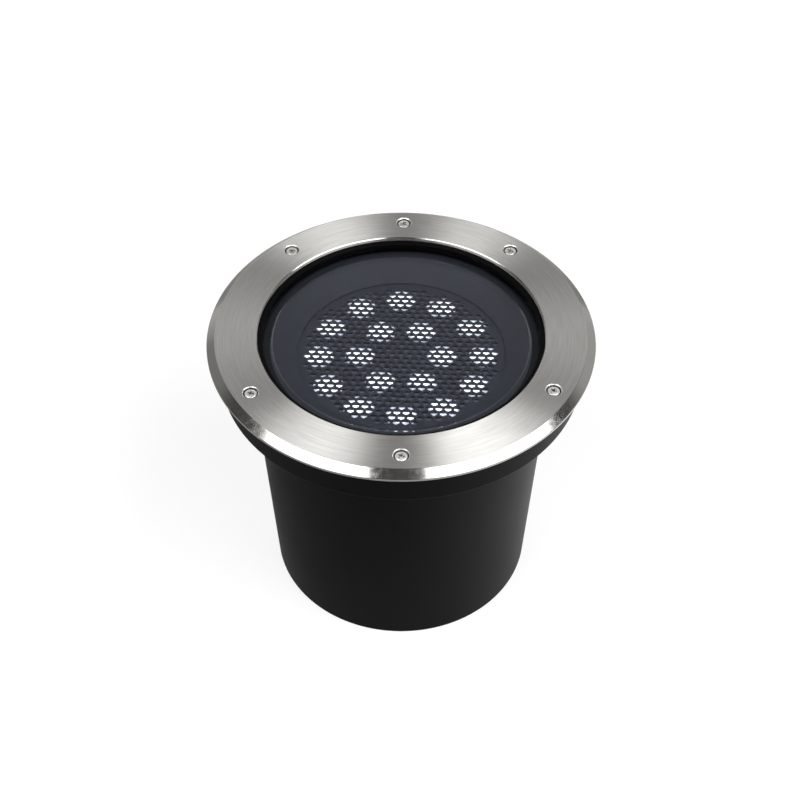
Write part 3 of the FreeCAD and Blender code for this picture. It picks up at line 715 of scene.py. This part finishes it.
def keep(piece: Piece, body: str, slot: str, *nodes: str, finish: Finish | None = None) -> None:
    """Softens a finished piece, and lets it ride on its body in place of its CAD nodes.

    Args:
        piece: the piece.
        body: the body that it rides on.
        slot: the record's material slot; not used.
        *nodes: the CAD nodes that it stands for.
        finish: its only finish, or None where it has its materials already.
    """
    if finish:
        piece.data.materials.clear()
        piece.data.materials.append(finish.material())
    soften(piece)
    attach(piece, body)
    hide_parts(*nodes)
    LOG.info("%s: %d faces, rides on %s", piece.name, len(piece.data.polygons), body)


def keep_copies(piece: Piece, places: Sequence[Point], turns: Sequence[float], digits: int, body: str,
                slot: str, node: str) -> None:
    """Puts a numbered copy of a piece at each place, in place of a CAD node, and deletes the piece.

    Args:
        piece: the piece, about the Z axis and with its material.
        places: the copies' places in plan.
        turns: the copies' turns about the Z axis, in radians.
        digits: how many digits their numbers have.
        body: the body that they ride on.
        slot: the record's material slot.
        node: the CAD node that they stand for.
    """
    for number, (place, turn) in enumerate(zip(places, turns), 1):
        copy = bpy.data.objects.new(f"{piece.name}_{number:0{digits}d}", piece.data)
        bpy.context.scene.collection.objects.link(copy)
        copy.location = (*place, 0)
        copy.rotation_euler = (0, 0, turn)
        keep(copy, body, slot, node)
    bpy.data.objects.remove(piece)


def dress(node: str, finish: Finish) -> None:
    """Gives a CAD node, whose shape stays, a finish.

    Args:
        node: the node's name.
        finish: its finish.
    """
    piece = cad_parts[node]
    if not piece.material_slots:
        piece.data.materials.append(None)
    for slot in piece.material_slots:
        slot.material = finish.material()
    LOG.info("%s: shape from the frame, %s", node, finish.name)


def polar(radius: float, degrees: float) -> Point:
    """Gives the plan point at a radius and an angle from +X."""
    return radius * math.cos(math.radians(degrees)), radius * math.sin(math.radians(degrees))


def ring_places(radius: float, count: int, start: float = 0.0) -> list[Point]:
    """Gives evenly spaced plan points on a circle."""
    return [polar(radius, start + 360.0 * i / count) for i in range(count)]


# ---- trim ring and its screws --------------------------------------------------------------------
class TrimSkin(Enum):
    """The trim ring's material slots."""

    BRUSHED = 0
    TURNED = 1
    BORED = 2


@dataclass
class TrimCover:
    """The stainless ring that clamps the glass, with its counterbores, screws and washers."""

    bevel_width: float = 5.5 * MM
    bevel_drop: float = 4.2 * MM
    lip_depth: float = 0.5 * MM
    lip_inner: float = 123.5 * MM
    lip_fillet: float = 0.1 * MM
    aperture: float = 96.3 * MM
    aperture_thickness: float = 2.8 * MM
    aperture_chamfer: float = 0.6 * MM
    aperture_fillet: float = 0.15 * MM
    aperture_foot_fillet: float = 0.2 * MM
    gasket_pocket: float = 103.45 * MM
    edge_fillet: float = 0.45 * MM
    screw_circle: float = 113.2 * MM
    screw_angles: tuple[float, ...] = (89.0, 47.0, -30.0, -90.0, -148.6, 133.0)
    screw_turn: float = 1.3         # how far a cross is turned, as a share of its screw's angle
    counterbore: float = 5.0 * MM
    counterbore_depth: float = 3.4 * MM
    counterbore_chamfer: float = 0.5 * MM
    shank: float = 2.0 * MM
    shank_gap: float = 0.1 * MM
    head: float = 4.0 * MM
    head_height: float = 2.4 * MM
    head_side: float = 0.72         # share of the head's height that is upright
    head_foot_fillet: float = 0.25 * MM
    head_fillet: float = 0.4 * MM
    crown_steps: int = 8
    recess_reach: float = 2.3 * MM
    recess_width: float = 1.35 * MM
    recess_depth: float = 1.9 * MM
    recess_proud: float = 0.3 * MM
    recess_shares: Point = (1.12, 0.55)     # the cross's reach at its top and its foot
    recess_narrowing: float = 0.7           # how much of that goes for its width too

    def build(self) -> None:
        """Builds the ring and its screws, and dresses the washers."""
        low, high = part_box("trim_ring")
        self.outer, self.under, self.top = high.x, low.z, high.z
        self.ring()
        self.screws()
        dress("trim_screw_washers", GASKET_RUBBER)

    def ring(self) -> None:
        """Builds the ring, brushed on its flat, turned elsewhere, and in its counterbores finished as the
        screws are, with their painted shade.
        """
        brushed, smooth = TrimSkin.BRUSHED.value, TrimSkin.TURNED.value
        seat = self.under + self.lip_depth
        face = self.top - self.aperture_thickness
        soft = self.edge_fillet
        ring = turned("trim_ring_brushed", [
            Corner(self.aperture + self.aperture_chamfer, self.top, self.aperture_fillet, brushed),
            Corner(self.outer - self.bevel_width, self.top, soft, smooth),
            Corner(self.outer, self.top - self.bevel_drop, soft, smooth),
            Corner(self.outer, self.under, soft, smooth),
            Corner(self.lip_inner, self.under, self.lip_fillet, smooth),
            Corner(self.lip_inner, seat, 0.0, smooth),
            Corner(self.gasket_pocket, seat, self.aperture_fillet, smooth),
            Corner(self.gasket_pocket, face, 0.0, smooth),
            Corner(self.aperture, face, self.aperture_foot_fillet, brushed),
            Corner(self.aperture, self.top - self.aperture_chamfer, self.aperture_fillet, smooth),
        ])
        cutters = [turned(f"counterbore_{i}", self.counterbore_outline(), HOLE_STEPS, place)
                   for i, place in enumerate(self.screw_places())]
        # The counterbores take the screws' finish, whose painted shade darkens their recess.
        for finish in (BRUSHED_TRIM, TURNED_TRIM, SCREW_STEEL):
            ring.data.materials.append(finish.material())
        carve(ring, joined("counterbores", cutters))
        keep(ring, "trim", "trim_steel", "trim_ring")

    def screw_places(self) -> list[Point]:
        """Gives the screws' places in plan."""
        return [polar(self.screw_circle, angle) for angle in self.screw_angles]

    def counterbore_outline(self) -> list[Corner]:
        """Gives the outline of one screw's hole, counterbore and chamfer, open at the top.

        Returns:
            Its corners.
        """
        floor = self.top - self.counterbore_depth
        hole = self.shank + self.shank_gap
        wide = self.counterbore + self.counterbore_chamfer
        outline = [(0, self.under - OVERCUT), (hole, self.under - OVERCUT), (hole, floor),
                   (self.counterbore, floor), (self.counterbore, self.top - self.counterbore_chamfer),
                   (wide, self.top), (wide, self.top + OVERCUT), (0, self.top + OVERCUT)]
        return [Corner(*point, skin=TrimSkin.BORED.value) for point in outline]

    def screws(self) -> None:
        """Builds one cross head screw and copies it to every counterbore, each at its own turn."""
        low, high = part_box("trim_screws")
        foot = high.z - self.head_height
        lead = self.shank / 2
        rise = self.head_height * (1 - self.head_side)
        dome = (self.head ** 2 + rise ** 2) / (2 * rise)
        crown = [self.head * step / self.crown_steps for step in reversed(range(self.crown_steps))]
        screw = turned("trim_screw", [
            Corner(0, low.z), Corner(self.shank - lead, low.z), Corner(self.shank, low.z + lead),
            Corner(self.shank, foot), Corner(self.head, foot, self.head_foot_fillet),
            Corner(self.head, high.z - rise, self.head_fillet),
            *(Corner(r, high.z - dome + math.sqrt(dome ** 2 - r ** 2)) for r in crown)], SMALL_STEPS)
        carve(screw, self.recess(high.z))
        screw.data.materials.clear()
        screw.data.materials.append(SCREW_STEEL.material())
        turns = [math.radians(angle * self.screw_turn) for angle in self.screw_angles]
        keep_copies(screw, self.screw_places(), turns, 1, "trim", "screw_steel", "trim_screws")

    def recess(self, top: float) -> Piece:
        """Builds the cutter for a cross recess that narrows towards its foot.

        Args:
            top: the height of the head's crown.

        Returns:
            The cutter.
        """
        shape = bmesh.new()
        rings = []
        for height, share in zip((top + self.recess_proud, top - self.recess_depth), self.recess_shares):
            reach = self.recess_reach * share
            half = self.recess_width / 2 * (1 - self.recess_narrowing + self.recess_narrowing * share)
            arm = [(reach, -half), (reach, half), (half, half)]
            plan = [(x * c - y * s, x * s + y * c)
                    for c, s in ((1, 0), (0, 1), (-1, 0), (0, -1)) for x, y in arm]
            rings.append([shape.verts.new((x, y, height)) for x, y in plan])
        for ring in rings:
            shape.faces.new(ring)
        wall(shape, *rings)
        return finish_mesh("cross_recess", shape)


# ---- glass and gasket ----------------------------------------------------------------------------
@dataclass
class GlassUnit:
    """The glass disc with its raised middle, and the gasket that wraps its edge."""

    plateau: float = 86.0 * MM
    step_drop: float = 0.3 * MM
    step_bevel: float = 1.2 * MM
    arris: float = 0.5 * MM
    gap: float = 0.15 * MM
    lip: float = 92.5 * MM
    lip_round: float = 1.2 * MM
    lip_foot: float = 0.2 * MM
    gasket_fillet: float = 0.3 * MM
    under_reach: float = 5.0 * MM

    def build(self) -> None:
        """Builds the glass and its gasket."""
        low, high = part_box("glass_lens")
        radius, bottom, top = high.x, low.z, high.z
        shoulder = top - self.step_drop
        glass = turned("glass_disc", [
            Corner(0, bottom), Corner(radius, bottom, self.arris), Corner(radius, shoulder, self.arris),
            Corner(self.plateau + self.step_bevel, shoulder, self.arris),
            Corner(self.plateau, top, self.arris), Corner(0, top)])
        keep(glass, "lamp", "clear_glass", "glass_lens", finish=GLASS)
        seat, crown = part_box("glass_gasket")
        soft = self.gasket_fillet
        gasket = turned("gasket_moulded", [
            Corner(self.lip, shoulder, self.lip_foot), Corner(self.lip, crown.z, self.lip_round),
            Corner(crown.x, crown.z, soft), Corner(crown.x, seat.z, soft),
            Corner(radius - self.under_reach, seat.z, soft),
            Corner(radius - self.under_reach, bottom, self.lip_foot),
            Corner(radius + self.gap, bottom), Corner(radius + self.gap, shoulder)])
        keep(gasket, "lamp", "black_silicone", "glass_gasket", finish=GASKET_RUBBER)


# ---- louvre, baffle and optics -------------------------------------------------------------------
@dataclass
class OpticUnit:
    """What shows through the glass: the funnel-shaped baffle, the honeycomb louvre and the lit lenses."""

    opening: float = 71.0 * MM
    opening_fillet: float = 0.5 * MM
    mouth: float = 88.0 * MM
    mouth_fillet: float = 0.6 * MM
    baffle_edge: float = 1.5 * MM
    baffle_thickness: float = 2.0 * MM
    baffle_wall: float = 1.5 * MM
    baffle_fillet: float = 0.3 * MM
    cell_pitch: float = 6.07 * MM
    row_pitch: float = 4.55 * MM
    web: float = 1.85 * MM
    slant: float = 30.0             # degrees
    turn: float = -3.0              # degrees, the rows to the X axis
    cell_field: float = 66.0 * MM
    rim_chamfer: float = 0.3 * MM
    far_side: float = 1.7 * MM      # a cell's straight far side at its foot, from the cell's centre
    border_steps: int = 180
    lens_body: float = 7.9 * MM
    lens_foot: float = 4.2 * MM
    lens_fillet: float = 0.2 * MM
    lens_rim_fillet: float = 0.3 * MM
    lens_pocket: float = 2.2 * MM
    pocket_depth: float = 3.0 * MM
    flange: float = 10.2 * MM
    flange_thickness: float = 1.4 * MM
    outer_ring: float = 56.0 * MM
    outer_count: int = 12
    inner_ring: float = 28.0 * MM
    inner_count: int = 6

    def build(self) -> None:
        """Builds the baffle, the louvre and the lenses, and dresses what holds and feeds them."""
        self.baffle()
        self.louvre()
        self.lenses()
        for node, finish in (("lens_carrier", CARRIER_PLASTIC), ("led_board", BOARD_MASK),
                             ("led_chips", LED_PHOSPHOR), ("thermal_pad", THERMAL_SHEET),
                             ("board_screws", ZINC_SCREW)):
            dress(node, finish)

    def baffle(self) -> None:
        """Builds the funnel from the glass down to the louvre."""
        low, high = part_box("baffle_ring")
        foot = low.z + self.baffle_edge
        slope = (high.z - foot) / (self.mouth - self.opening)
        under = self.opening + (self.baffle_thickness - self.baffle_edge) / slope
        skirt = high.x - self.baffle_wall
        shelf = high.z - self.baffle_thickness
        soft = self.baffle_fillet
        baffle = turned("baffle_funnel", [
            Corner(self.opening, low.z, soft), Corner(under, low.z), Corner(self.mouth, shelf),
            Corner(skirt, shelf), Corner(skirt, low.z), Corner(high.x, low.z, soft),
            Corner(high.x, high.z, soft), Corner(self.mouth, high.z, self.mouth_fillet),
            Corner(self.opening, foot, self.opening_fillet)])
        keep(baffle, "lamp", "black_moulding", "baffle_ring", finish=LOUVRE_PLASTIC)

    def cell_places(self) -> list[Point]:
        """Gives the plan places of the louvre's cells, in rows that step sideways by half a cell.

        Returns:
            The places, before the louvre is turned.
        """
        rows = int(self.cell_field / self.row_pitch)
        columns = int(self.cell_field / self.cell_pitch) + 1
        places = [(column * self.cell_pitch + self.cell_pitch / 2 * (row % 2), row * self.row_pitch)
                  for row in range(-rows, rows + 1) for column in range(-columns, columns + 1)]
        return [p for p in places if math.hypot(*p) <= self.cell_field]

    def cell_outline(self, inset: float, squared: bool = False) -> list[Point]:
        """Gives a cell's six corners, drawn in from the middle of the webs round it.

        Args:
            inset: how far its sides stand in from the middle of the web.
            squared: whether its far side runs straight across, as it does at the cell's foot.

        Returns:
            The corners, anticlockwise, about the cell's centre.
        """
        tilt = math.radians(self.slant)
        half = self.cell_pitch / 2 - inset
        tall = (self.row_pitch + self.cell_pitch / 2 * math.tan(tilt)) / 2 - inset / math.cos(tilt)
        shoulder = tall - half * math.tan(tilt)
        side, peak = (self.far_side, self.far_side) if squared else (shoulder, tall)
        return [(half, -shoulder), (half, side), (0, peak), (-half, side), (-half, -shoulder), (0, -tall)]

    def louvre(self) -> None:
        """Builds the grid of cells, each with a small chamfer round its upper rim, inside a plain border."""
        low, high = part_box("honeycomb_louvre")
        half_web = self.web / 2
        layers = [(0.0, high.z, False), (half_web - self.rim_chamfer, high.z, False),
                  (half_web, high.z - self.rim_chamfer, False), (half_web, low.z, True), (0.0, low.z, False)]
        shape = bmesh.new()
        for place in self.cell_places():
            rings = [[shape.verts.new((place[0] + x, place[1] + y, height))
                      for x, y in self.cell_outline(inset, squared)] for inset, height, squared in layers]
            for ring, other in zip(rings, rings[1:]):
                wall(shape, ring, other)
        bmesh.ops.remove_doubles(shape, verts=shape.verts, dist=TOUCH)
        self.border(shape, high.x, low.z, high.z)
        bmesh.ops.rotate(shape, verts=shape.verts, cent=(0, 0, 0),
                         matrix=Euler((0, 0, math.radians(self.turn))).to_matrix())
        louvre = finish_mesh("honeycomb_grid", shape, smooth=False)
        keep(louvre, "lamp", "black_moulding", "honeycomb_louvre", finish=LOUVRE_PLASTIC)

    def border(self, shape: bmesh.types.BMesh, radius: float, bottom: float, top: float) -> None:
        """Fills the grid out to a round edge.

        Args:
            shape: the mesh of the cells, open round its outside.
            radius: the louvre's radius.
            bottom: its underside.
            top: its upper face.
        """
        turns = [math.tau * i / self.border_steps for i in range(self.border_steps)]
        rings = []
        for height in (top, bottom):
            open_edges = [e for e in shape.edges if e.is_boundary
                          and all(abs(v.co.z - height) < TOUCH for v in e.verts)]
            ring = [shape.verts.new((radius * math.cos(a), radius * math.sin(a), height)) for a in turns]
            edges = [shape.edges.new(pair) for pair in zip(ring, ring[1:] + ring[:1])]
            bmesh.ops.triangle_fill(shape, use_beauty=True, edges=open_edges + edges, normal=UP)
            rings.append(ring)
        wall(shape, *rings)

    def lenses(self) -> None:
        """Builds one collimator and copies it over every emitter."""
        low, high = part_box("lens_array")
        seat = high.z - self.flange_thickness
        pocket = low.z + self.pocket_depth
        soft, rim = self.lens_fillet, self.lens_rim_fillet
        lens = turned("collimator", [
            Corner(0, pocket), Corner(self.lens_pocket, pocket, rim), Corner(self.lens_pocket, low.z),
            Corner(self.lens_foot, low.z, soft), Corner(self.lens_body, seat, soft),
            Corner(self.flange, seat, soft), Corner(self.flange, high.z, rim), Corner(0, high.z)],
            SMALL_STEPS)
        lens.data.materials.append(LIT_LENS.material())
        places = (ring_places(self.outer_ring, self.outer_count)
                  + ring_places(self.inner_ring, self.inner_count))
        keep_copies(lens, places, [0.0] * len(places), 2, "lamp", "clear_acrylic", "lens_array")


# ---- sleeve --------------------------------------------------------------------------------------
@dataclass
class MountingSleeve:
    """The black sleeve that stays in the ground: tapered can, wide rim and the rubber seal on it."""

    wall: float = 3.2 * MM
    neck: float = 102.3 * MM
    floor: float = 4.0 * MM
    edge: float = 1.0 * MM
    fillet: float = 0.4 * MM
    inner_fillet: float = 0.5 * MM
    collar: float = 12.7 * MM
    collar_wall: float = 3.8 * MM
    collar_height: float = 16.0 * MM
    drain_circle: float = 48.0 * MM
    drain: float = 6.0 * MM
    drain_count: int = 6
    drain_start: float = 30.0       # degrees
    ledge: float = 3.2 * MM
    foot_band: float = 0.1 * MM     # height over the ground in which the CAD foot's corners lie

    def build(self) -> None:
        """Builds the can and the rim, and dresses the seal."""
        self.can()
        self.rim()
        dress("rim_seal", GASKET_RUBBER)

    def can(self) -> None:
        """Builds the tapered can with its conduit collar and drains."""
        low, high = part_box("sleeve_can")
        foot = self.foot_radius()
        slope = (self.neck - foot) / high.z
        collar_outer = self.collar + self.collar_wall
        can = turned("sleeve_can_coated", [
            Corner(self.collar, low.z, self.fillet), Corner(foot, low.z, self.edge),
            Corner(self.neck, high.z), Corner(self.neck - self.wall, high.z),
            Corner(foot - self.wall + slope * self.floor, self.floor, self.edge),
            Corner(collar_outer, self.floor, self.edge),
            Corner(collar_outer, self.collar_height, self.inner_fillet),
            Corner(self.collar, self.collar_height, self.inner_fillet)])
        bore = [Corner(0, -OVERCUT), Corner(self.drain, -OVERCUT), Corner(self.drain, self.floor + OVERCUT),
                Corner(0, self.floor + OVERCUT)]
        places = ring_places(self.drain_circle, self.drain_count, self.drain_start)
        cutters = [turned(f"drain_{i}", bore, HOLE_STEPS, place) for i, place in enumerate(places)]
        carve(can, joined("drains", cutters))
        keep(can, "sleeve", "sleeve_coat", "sleeve_can", finish=SLEEVE_COAT)

    def foot_radius(self) -> float:
        """Reads the can's radius at its foot from the CAD node's lowest corners.

        Returns:
            The radius of the foot's sharp corner.
        """
        low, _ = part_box("sleeve_can")
        return self.edge + max(math.hypot(v.co.x, v.co.y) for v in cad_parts["sleeve_can"].data.vertices
                               if v.co.z < low.z + self.foot_band)

    def rim(self) -> None:
        """Builds the wide rim with its ledge for the lamp."""
        low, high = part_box("sleeve_rim")
        inner = high.x - self.wall
        ledge_inner = self.neck - self.wall
        rim = turned("sleeve_rim_coated", [
            Corner(ledge_inner, low.z), Corner(high.x, low.z, self.edge),
            Corner(high.x, high.z, self.fillet), Corner(inner, high.z, self.fillet),
            Corner(inner, low.z + self.ledge, self.inner_fillet),
            Corner(ledge_inner, low.z + self.ledge, self.fillet)])
        keep(rim, "sleeve", "sleeve_coat", "sleeve_rim", finish=SLEEVE_COAT)


# ---- housing, driver and cable entry -------------------------------------------------------------
@dataclass
class LampBody:
    """The lift-out housing and everything in and under it, all in the shapes of the frame."""

    castings: tuple[str, ...] = ("lamp_housing", "driver_housing", "bottom_cover")
    nylon: tuple[str, ...] = ("gland_body", "gland_locknut", "gland_nut", "breather_valve")
    rubber: tuple[str, ...] = ("bottom_seal", "gland_seal", "lead_grommet")
    zinc: tuple[str, ...] = ("driver_screws", "earth_screw")

    def build(self) -> None:
        """Dresses each node in its own finish."""
        finishes = ((self.castings, CASTING_COAT), (self.nylon, GLAND_NYLON),
                    (self.rubber, GASKET_RUBBER), (self.zinc, ZINC_SCREW), (("bottom_screws",), SCREW_STEEL),
                    (("led_driver",), DRIVER_CASE), (("terminal_block",), TERMINAL_NYLON))
        for nodes, finish in finishes:
            for node in nodes:
                dress(node, finish)
        for wire in WireColour:
            colour, stripe, slot = wire.value
            dress(wire.name, WireJacket(f"pvc_{slot}", colour=colour, stripe=stripe))


# ---- studio --------------------------------------------------------------------------------------
@dataclass
class Studio:
    """Pale floor, two overhead softboxes, soft surroundings and the camera.

    Levels are shares of white. Metal and glass see the same pale set, graded as a photographer's cards
    would grade it.
    """

    lens: float = 68.15             # millimetres
    eye: tuple[float, float, float] = (-0.00078, -0.7417, 0.9018)
    pitch: float = 44.42            # degrees that the camera is turned up from straight down
    floor_radius: float = 2.5
    floor_colour: str = "#A0A0A0"
    floor_glow: float = 0.70
    floor_fade: Point = (0.35, 0.9)
    floor_far: float = 0.15         # share of its white that metal sees far out
    floor_near: Point = (0.25, 0.65)
    foot_glow: Point = (-0.4, 1.4)  # what metal sees left and right of the light's foot
    foot_slant: float = 0.6         # how much of that gradient also runs to the back
    foot_reach: Point = (0.30, 0.45)
    box_height: float = 1.212
    right_box: Point = (0.215, 1.52)
    left_box: Point = (-1.32, -0.275)
    box_depth: Point = (-1.0, 0.1)
    right_radiance: float = 5.0
    left_radiance: float = 4.4
    backdrop: float = 0.72
    backdrop_fade: Point = (0.60, 0.86)
    ceiling: float = 0.09
    right_wall: float = 0.60
    left_wall: float = 0.33
    wall_fade: Point = (0.33, 0.50)
    foot_fade: Point = (0.15, 0.30)
    flag: float = 0.28              # share of the backdrop left by the dark card that the glass mirrors

    def build(self) -> None:
        """Builds the floor, the lamps, the surroundings and the camera."""
        self.floor()
        self.softbox("softbox_right", self.right_box, self.right_radiance)
        self.softbox("softbox_left", self.left_box, self.left_radiance)
        self.surroundings()
        self.camera()
        settings = bpy.context.scene.view_settings
        settings.view_transform = "Standard"

    def camera(self) -> None:
        """Places the camera at the viewing angle, with no shift and no depth of field."""
        data = bpy.data.cameras.new("camera")
        data.lens, data.sensor_width = self.lens, 36.0
        camera = bpy.data.objects.new("camera", data)
        camera.location = self.eye
        camera.rotation_euler = Euler((math.radians(self.pitch), 0, 0))
        bpy.context.scene.collection.objects.link(camera)
        bpy.context.scene.camera = camera

    def softbox(self, name: str, span: Point, radiance: float) -> None:
        """Hangs one flat lamp over the set.

        Args:
            name: the lamp's name.
            span: its left and right ends.
            radiance: how bright its face is, where 1 is white.
        """
        width, depth = span[1] - span[0], self.box_depth[1] - self.box_depth[0]
        data = bpy.data.lights.new(name, "AREA")
        data.shape, data.size, data.size_y = "RECTANGLE", width, depth
        data.energy = radiance * width * depth * math.pi
        lamp = bpy.data.objects.new(name, data)
        lamp.location = (sum(span) / 2, sum(self.box_depth) / 2, self.box_height)
        lamp.visible_camera = False
        bpy.context.scene.collection.objects.link(lamp)

    def floor(self) -> None:
        """Lays a round pale floor that keeps the light's shadow.

        It is white to the camera and through glass; metal sees it brighter at the right of the light's foot
        than at the left, and dim far out.
        """
        shape = bmesh.new()
        bmesh.ops.create_circle(shape, cap_ends=True, segments=96, radius=self.floor_radius)
        floor = finish_mesh("floor", shape, smooth=False)
        material = bpy.data.materials.new("paper_floor_pale")
        material.use_nodes = True
        tree = material.node_tree
        tree.nodes.clear()
        path = add_node(tree, "LightPath")
        place = add_node(tree, "TexCoord").outputs["Object"]
        radius = add_node(tree, "VectorMath", {0: place}, operation="LENGTH").outputs["Value"]
        across = add_node(tree, "VectorMath", {0: place, 1: (1, self.foot_slant, 0)},
                          operation="DOT_PRODUCT").outputs["Value"]
        reach = self.foot_reach[0]
        level = {"glossy": path.outputs["Is Glossy Ray"], "camera": path.outputs["Is Camera Ray"],
                 "glass": path.outputs["Is Transmission Ray"]}
        self.grade(tree, level, {"far": (radius, self.floor_near, (1.0, self.floor_far)),
                                 "glow": (radius, self.floor_fade, (self.floor_glow, 1.0))})
        self.grade(tree, level, {"foot": (across, (-reach, reach), self.foot_glow),
                                 "away": (radius, self.foot_reach, (0.0, 1.0))}, smooth=False)
        level["shade"] = add_node(tree, "Mix", {
            "Factor": level["away"], 2: level["foot"], 3: level["far"]}, data_type="FLOAT").outputs[0]
        self.grade(tree, level, {}, [
            ("metal", "glossy", "MULTIPLY", "shade"), ("straight", "camera", "MAXIMUM", "glass"),
            ("seen", "straight", "MAXIMUM", "metal"), ("strength", "seen", "MULTIPLY", "glow")])
        paper = add_node(tree, "BsdfDiffuse", {"Color": linear(self.floor_colour)})
        light = add_node(tree, "Emission", {"Color": WHITE, "Strength": level["strength"]})
        lit = add_node(tree, "AddShader", {0: paper.outputs[0], 1: light.outputs[0]})
        add_node(tree, "OutputMaterial", {"Surface": lit.outputs[0]})
        floor.data.materials.append(material)

    def grade(self, tree: Tree, level: dict[str, Socket], spans: dict[str, tuple[Socket, Point, Point]],
              rows: Sequence[tuple[str, str, str, str]] = (), smooth: bool = True) -> None:
        """Adds levels that change over a span of a place or a direction, and then combines levels in pairs.

        Args:
            tree: the node tree that they go into.
            level: the levels' sockets by name, to which the new ones are added.
            spans: for each new level the value that it follows, the span, and its levels at the two ends.
            rows: for each pair the result's name, one level, the operation, and the other level.
            smooth: whether the new levels change softly at the span's ends.
        """
        for name, (value, span, ends) in spans.items():
            level[name] = add_node(tree, "MapRange", {
                "Value": value, "From Min": span[0], "From Max": span[1],
                "To Min": ends[0], "To Max": ends[1]},
                interpolation_type="SMOOTHSTEP" if smooth else "LINEAR").outputs[0]
        for name, one, operation, other in rows:
            level[name] = add_node(tree, "Math", {0: level[one], 1: level[other]},
                                   operation=operation).outputs[0]

    def surroundings(self) -> None:
        """Sets what is round the set: a backdrop that darkens upwards, two walls, dark ceiling and front.

        The backdrop's foot, straight behind the set, is white to metal and glass as it is to the camera.
        """
        world = bpy.data.worlds.new("studio")
        bpy.context.scene.world = world
        world.use_nodes = True
        tree = world.node_tree
        tree.nodes.clear()
        way = add_node(tree, "TexCoord").outputs["Generated"]
        height = add_node(tree, "SeparateXYZ", {"Vector": way}).outputs["Z"]
        flat = add_node(tree, "VectorMath", {0: way, 1: (1, 1, 0)}, operation="MULTIPLY")
        unit = add_node(tree, "VectorMath", {0: flat.outputs[0]}, operation="NORMALIZE")
        heading = add_node(tree, "SeparateXYZ", {"Vector": unit.outputs[0]})
        across, ahead = heading.outputs["X"], heading.outputs["Y"]
        path = add_node(tree, "LightPath")
        level = {"camera": path.outputs["Is Camera Ray"], "metal": path.outputs["Is Glossy Ray"],
                 "glass": path.outputs["Is Transmission Ray"]}
        self.grade(tree, level, {
            "ahead": (ahead, (0.50, 0.85), (0.0, 1.0)),
            "dead ahead": (ahead, (0.85, 0.97), (0.0, 1.0)),
            "beside card": (ahead, (0.975, 0.99), (1.0, self.flag)),
            "under card": (height, (0.56, 0.62), (1.0, self.flag)),
            "over card": (height, (0.75, 0.81), (self.flag, 1.0)),
            "backdrop": (height, self.backdrop_fade, (self.backdrop, self.ceiling)),
            "right wall": (across, (0.30, 0.55), (0.0, self.right_wall)),
            "left wall": (across, (-0.55, -0.30), (self.left_wall, 0.0)),
            "wall height": (height, self.wall_fade, (1.0, 0.0)),
            "foot height": (height, self.foot_fade, (1.0, 0.0)),
        }, [
            ("card", "under card", "MAXIMUM", "over card"), ("card", "card", "MAXIMUM", "beside card"),
            ("behind", "backdrop", "MULTIPLY", "ahead"), ("behind", "behind", "MULTIPLY", "card"),
            ("walls", "right wall", "MAXIMUM", "left wall"), ("walls", "walls", "MULTIPLY", "wall height"),
            ("room", "behind", "MAXIMUM", "walls"), ("mirrored", "metal", "MAXIMUM", "glass"),
            ("foot", "dead ahead", "MULTIPLY", "foot height"), ("foot", "mirrored", "MULTIPLY", "foot"),
            ("white", "camera", "MAXIMUM", "foot"),
        ])
        room_level = add_node(tree, "Math", {0: level["room"], 1: self.ceiling}, operation="MAXIMUM")
        room = add_node(tree, "Background", {"Color": WHITE, "Strength": room_level.outputs[0]})
        white = add_node(tree, "Background", {"Color": WHITE, "Strength": 1.0})
        mix = add_node(tree, "MixShader", {"Fac": level["white"], 1: room.outputs[0], 2: white.outputs[0]})
        add_node(tree, "OutputWorld", {"Surface": mix.outputs[0]})


def main() -> None:
    """Builds every sub-assembly in order."""
    logging.basicConfig(level=logging.INFO, format="%(name)s: %(message)s")
    for unit in (Studio(), MountingSleeve(), LampBody(), OpticUnit(), GlassUnit(), TrimCover()):
        LOG.info("building %s", type(unit).__name__)
        unit.build()
    bpy.context.view_layer.update()


if __name__ == "__main__":
    main()
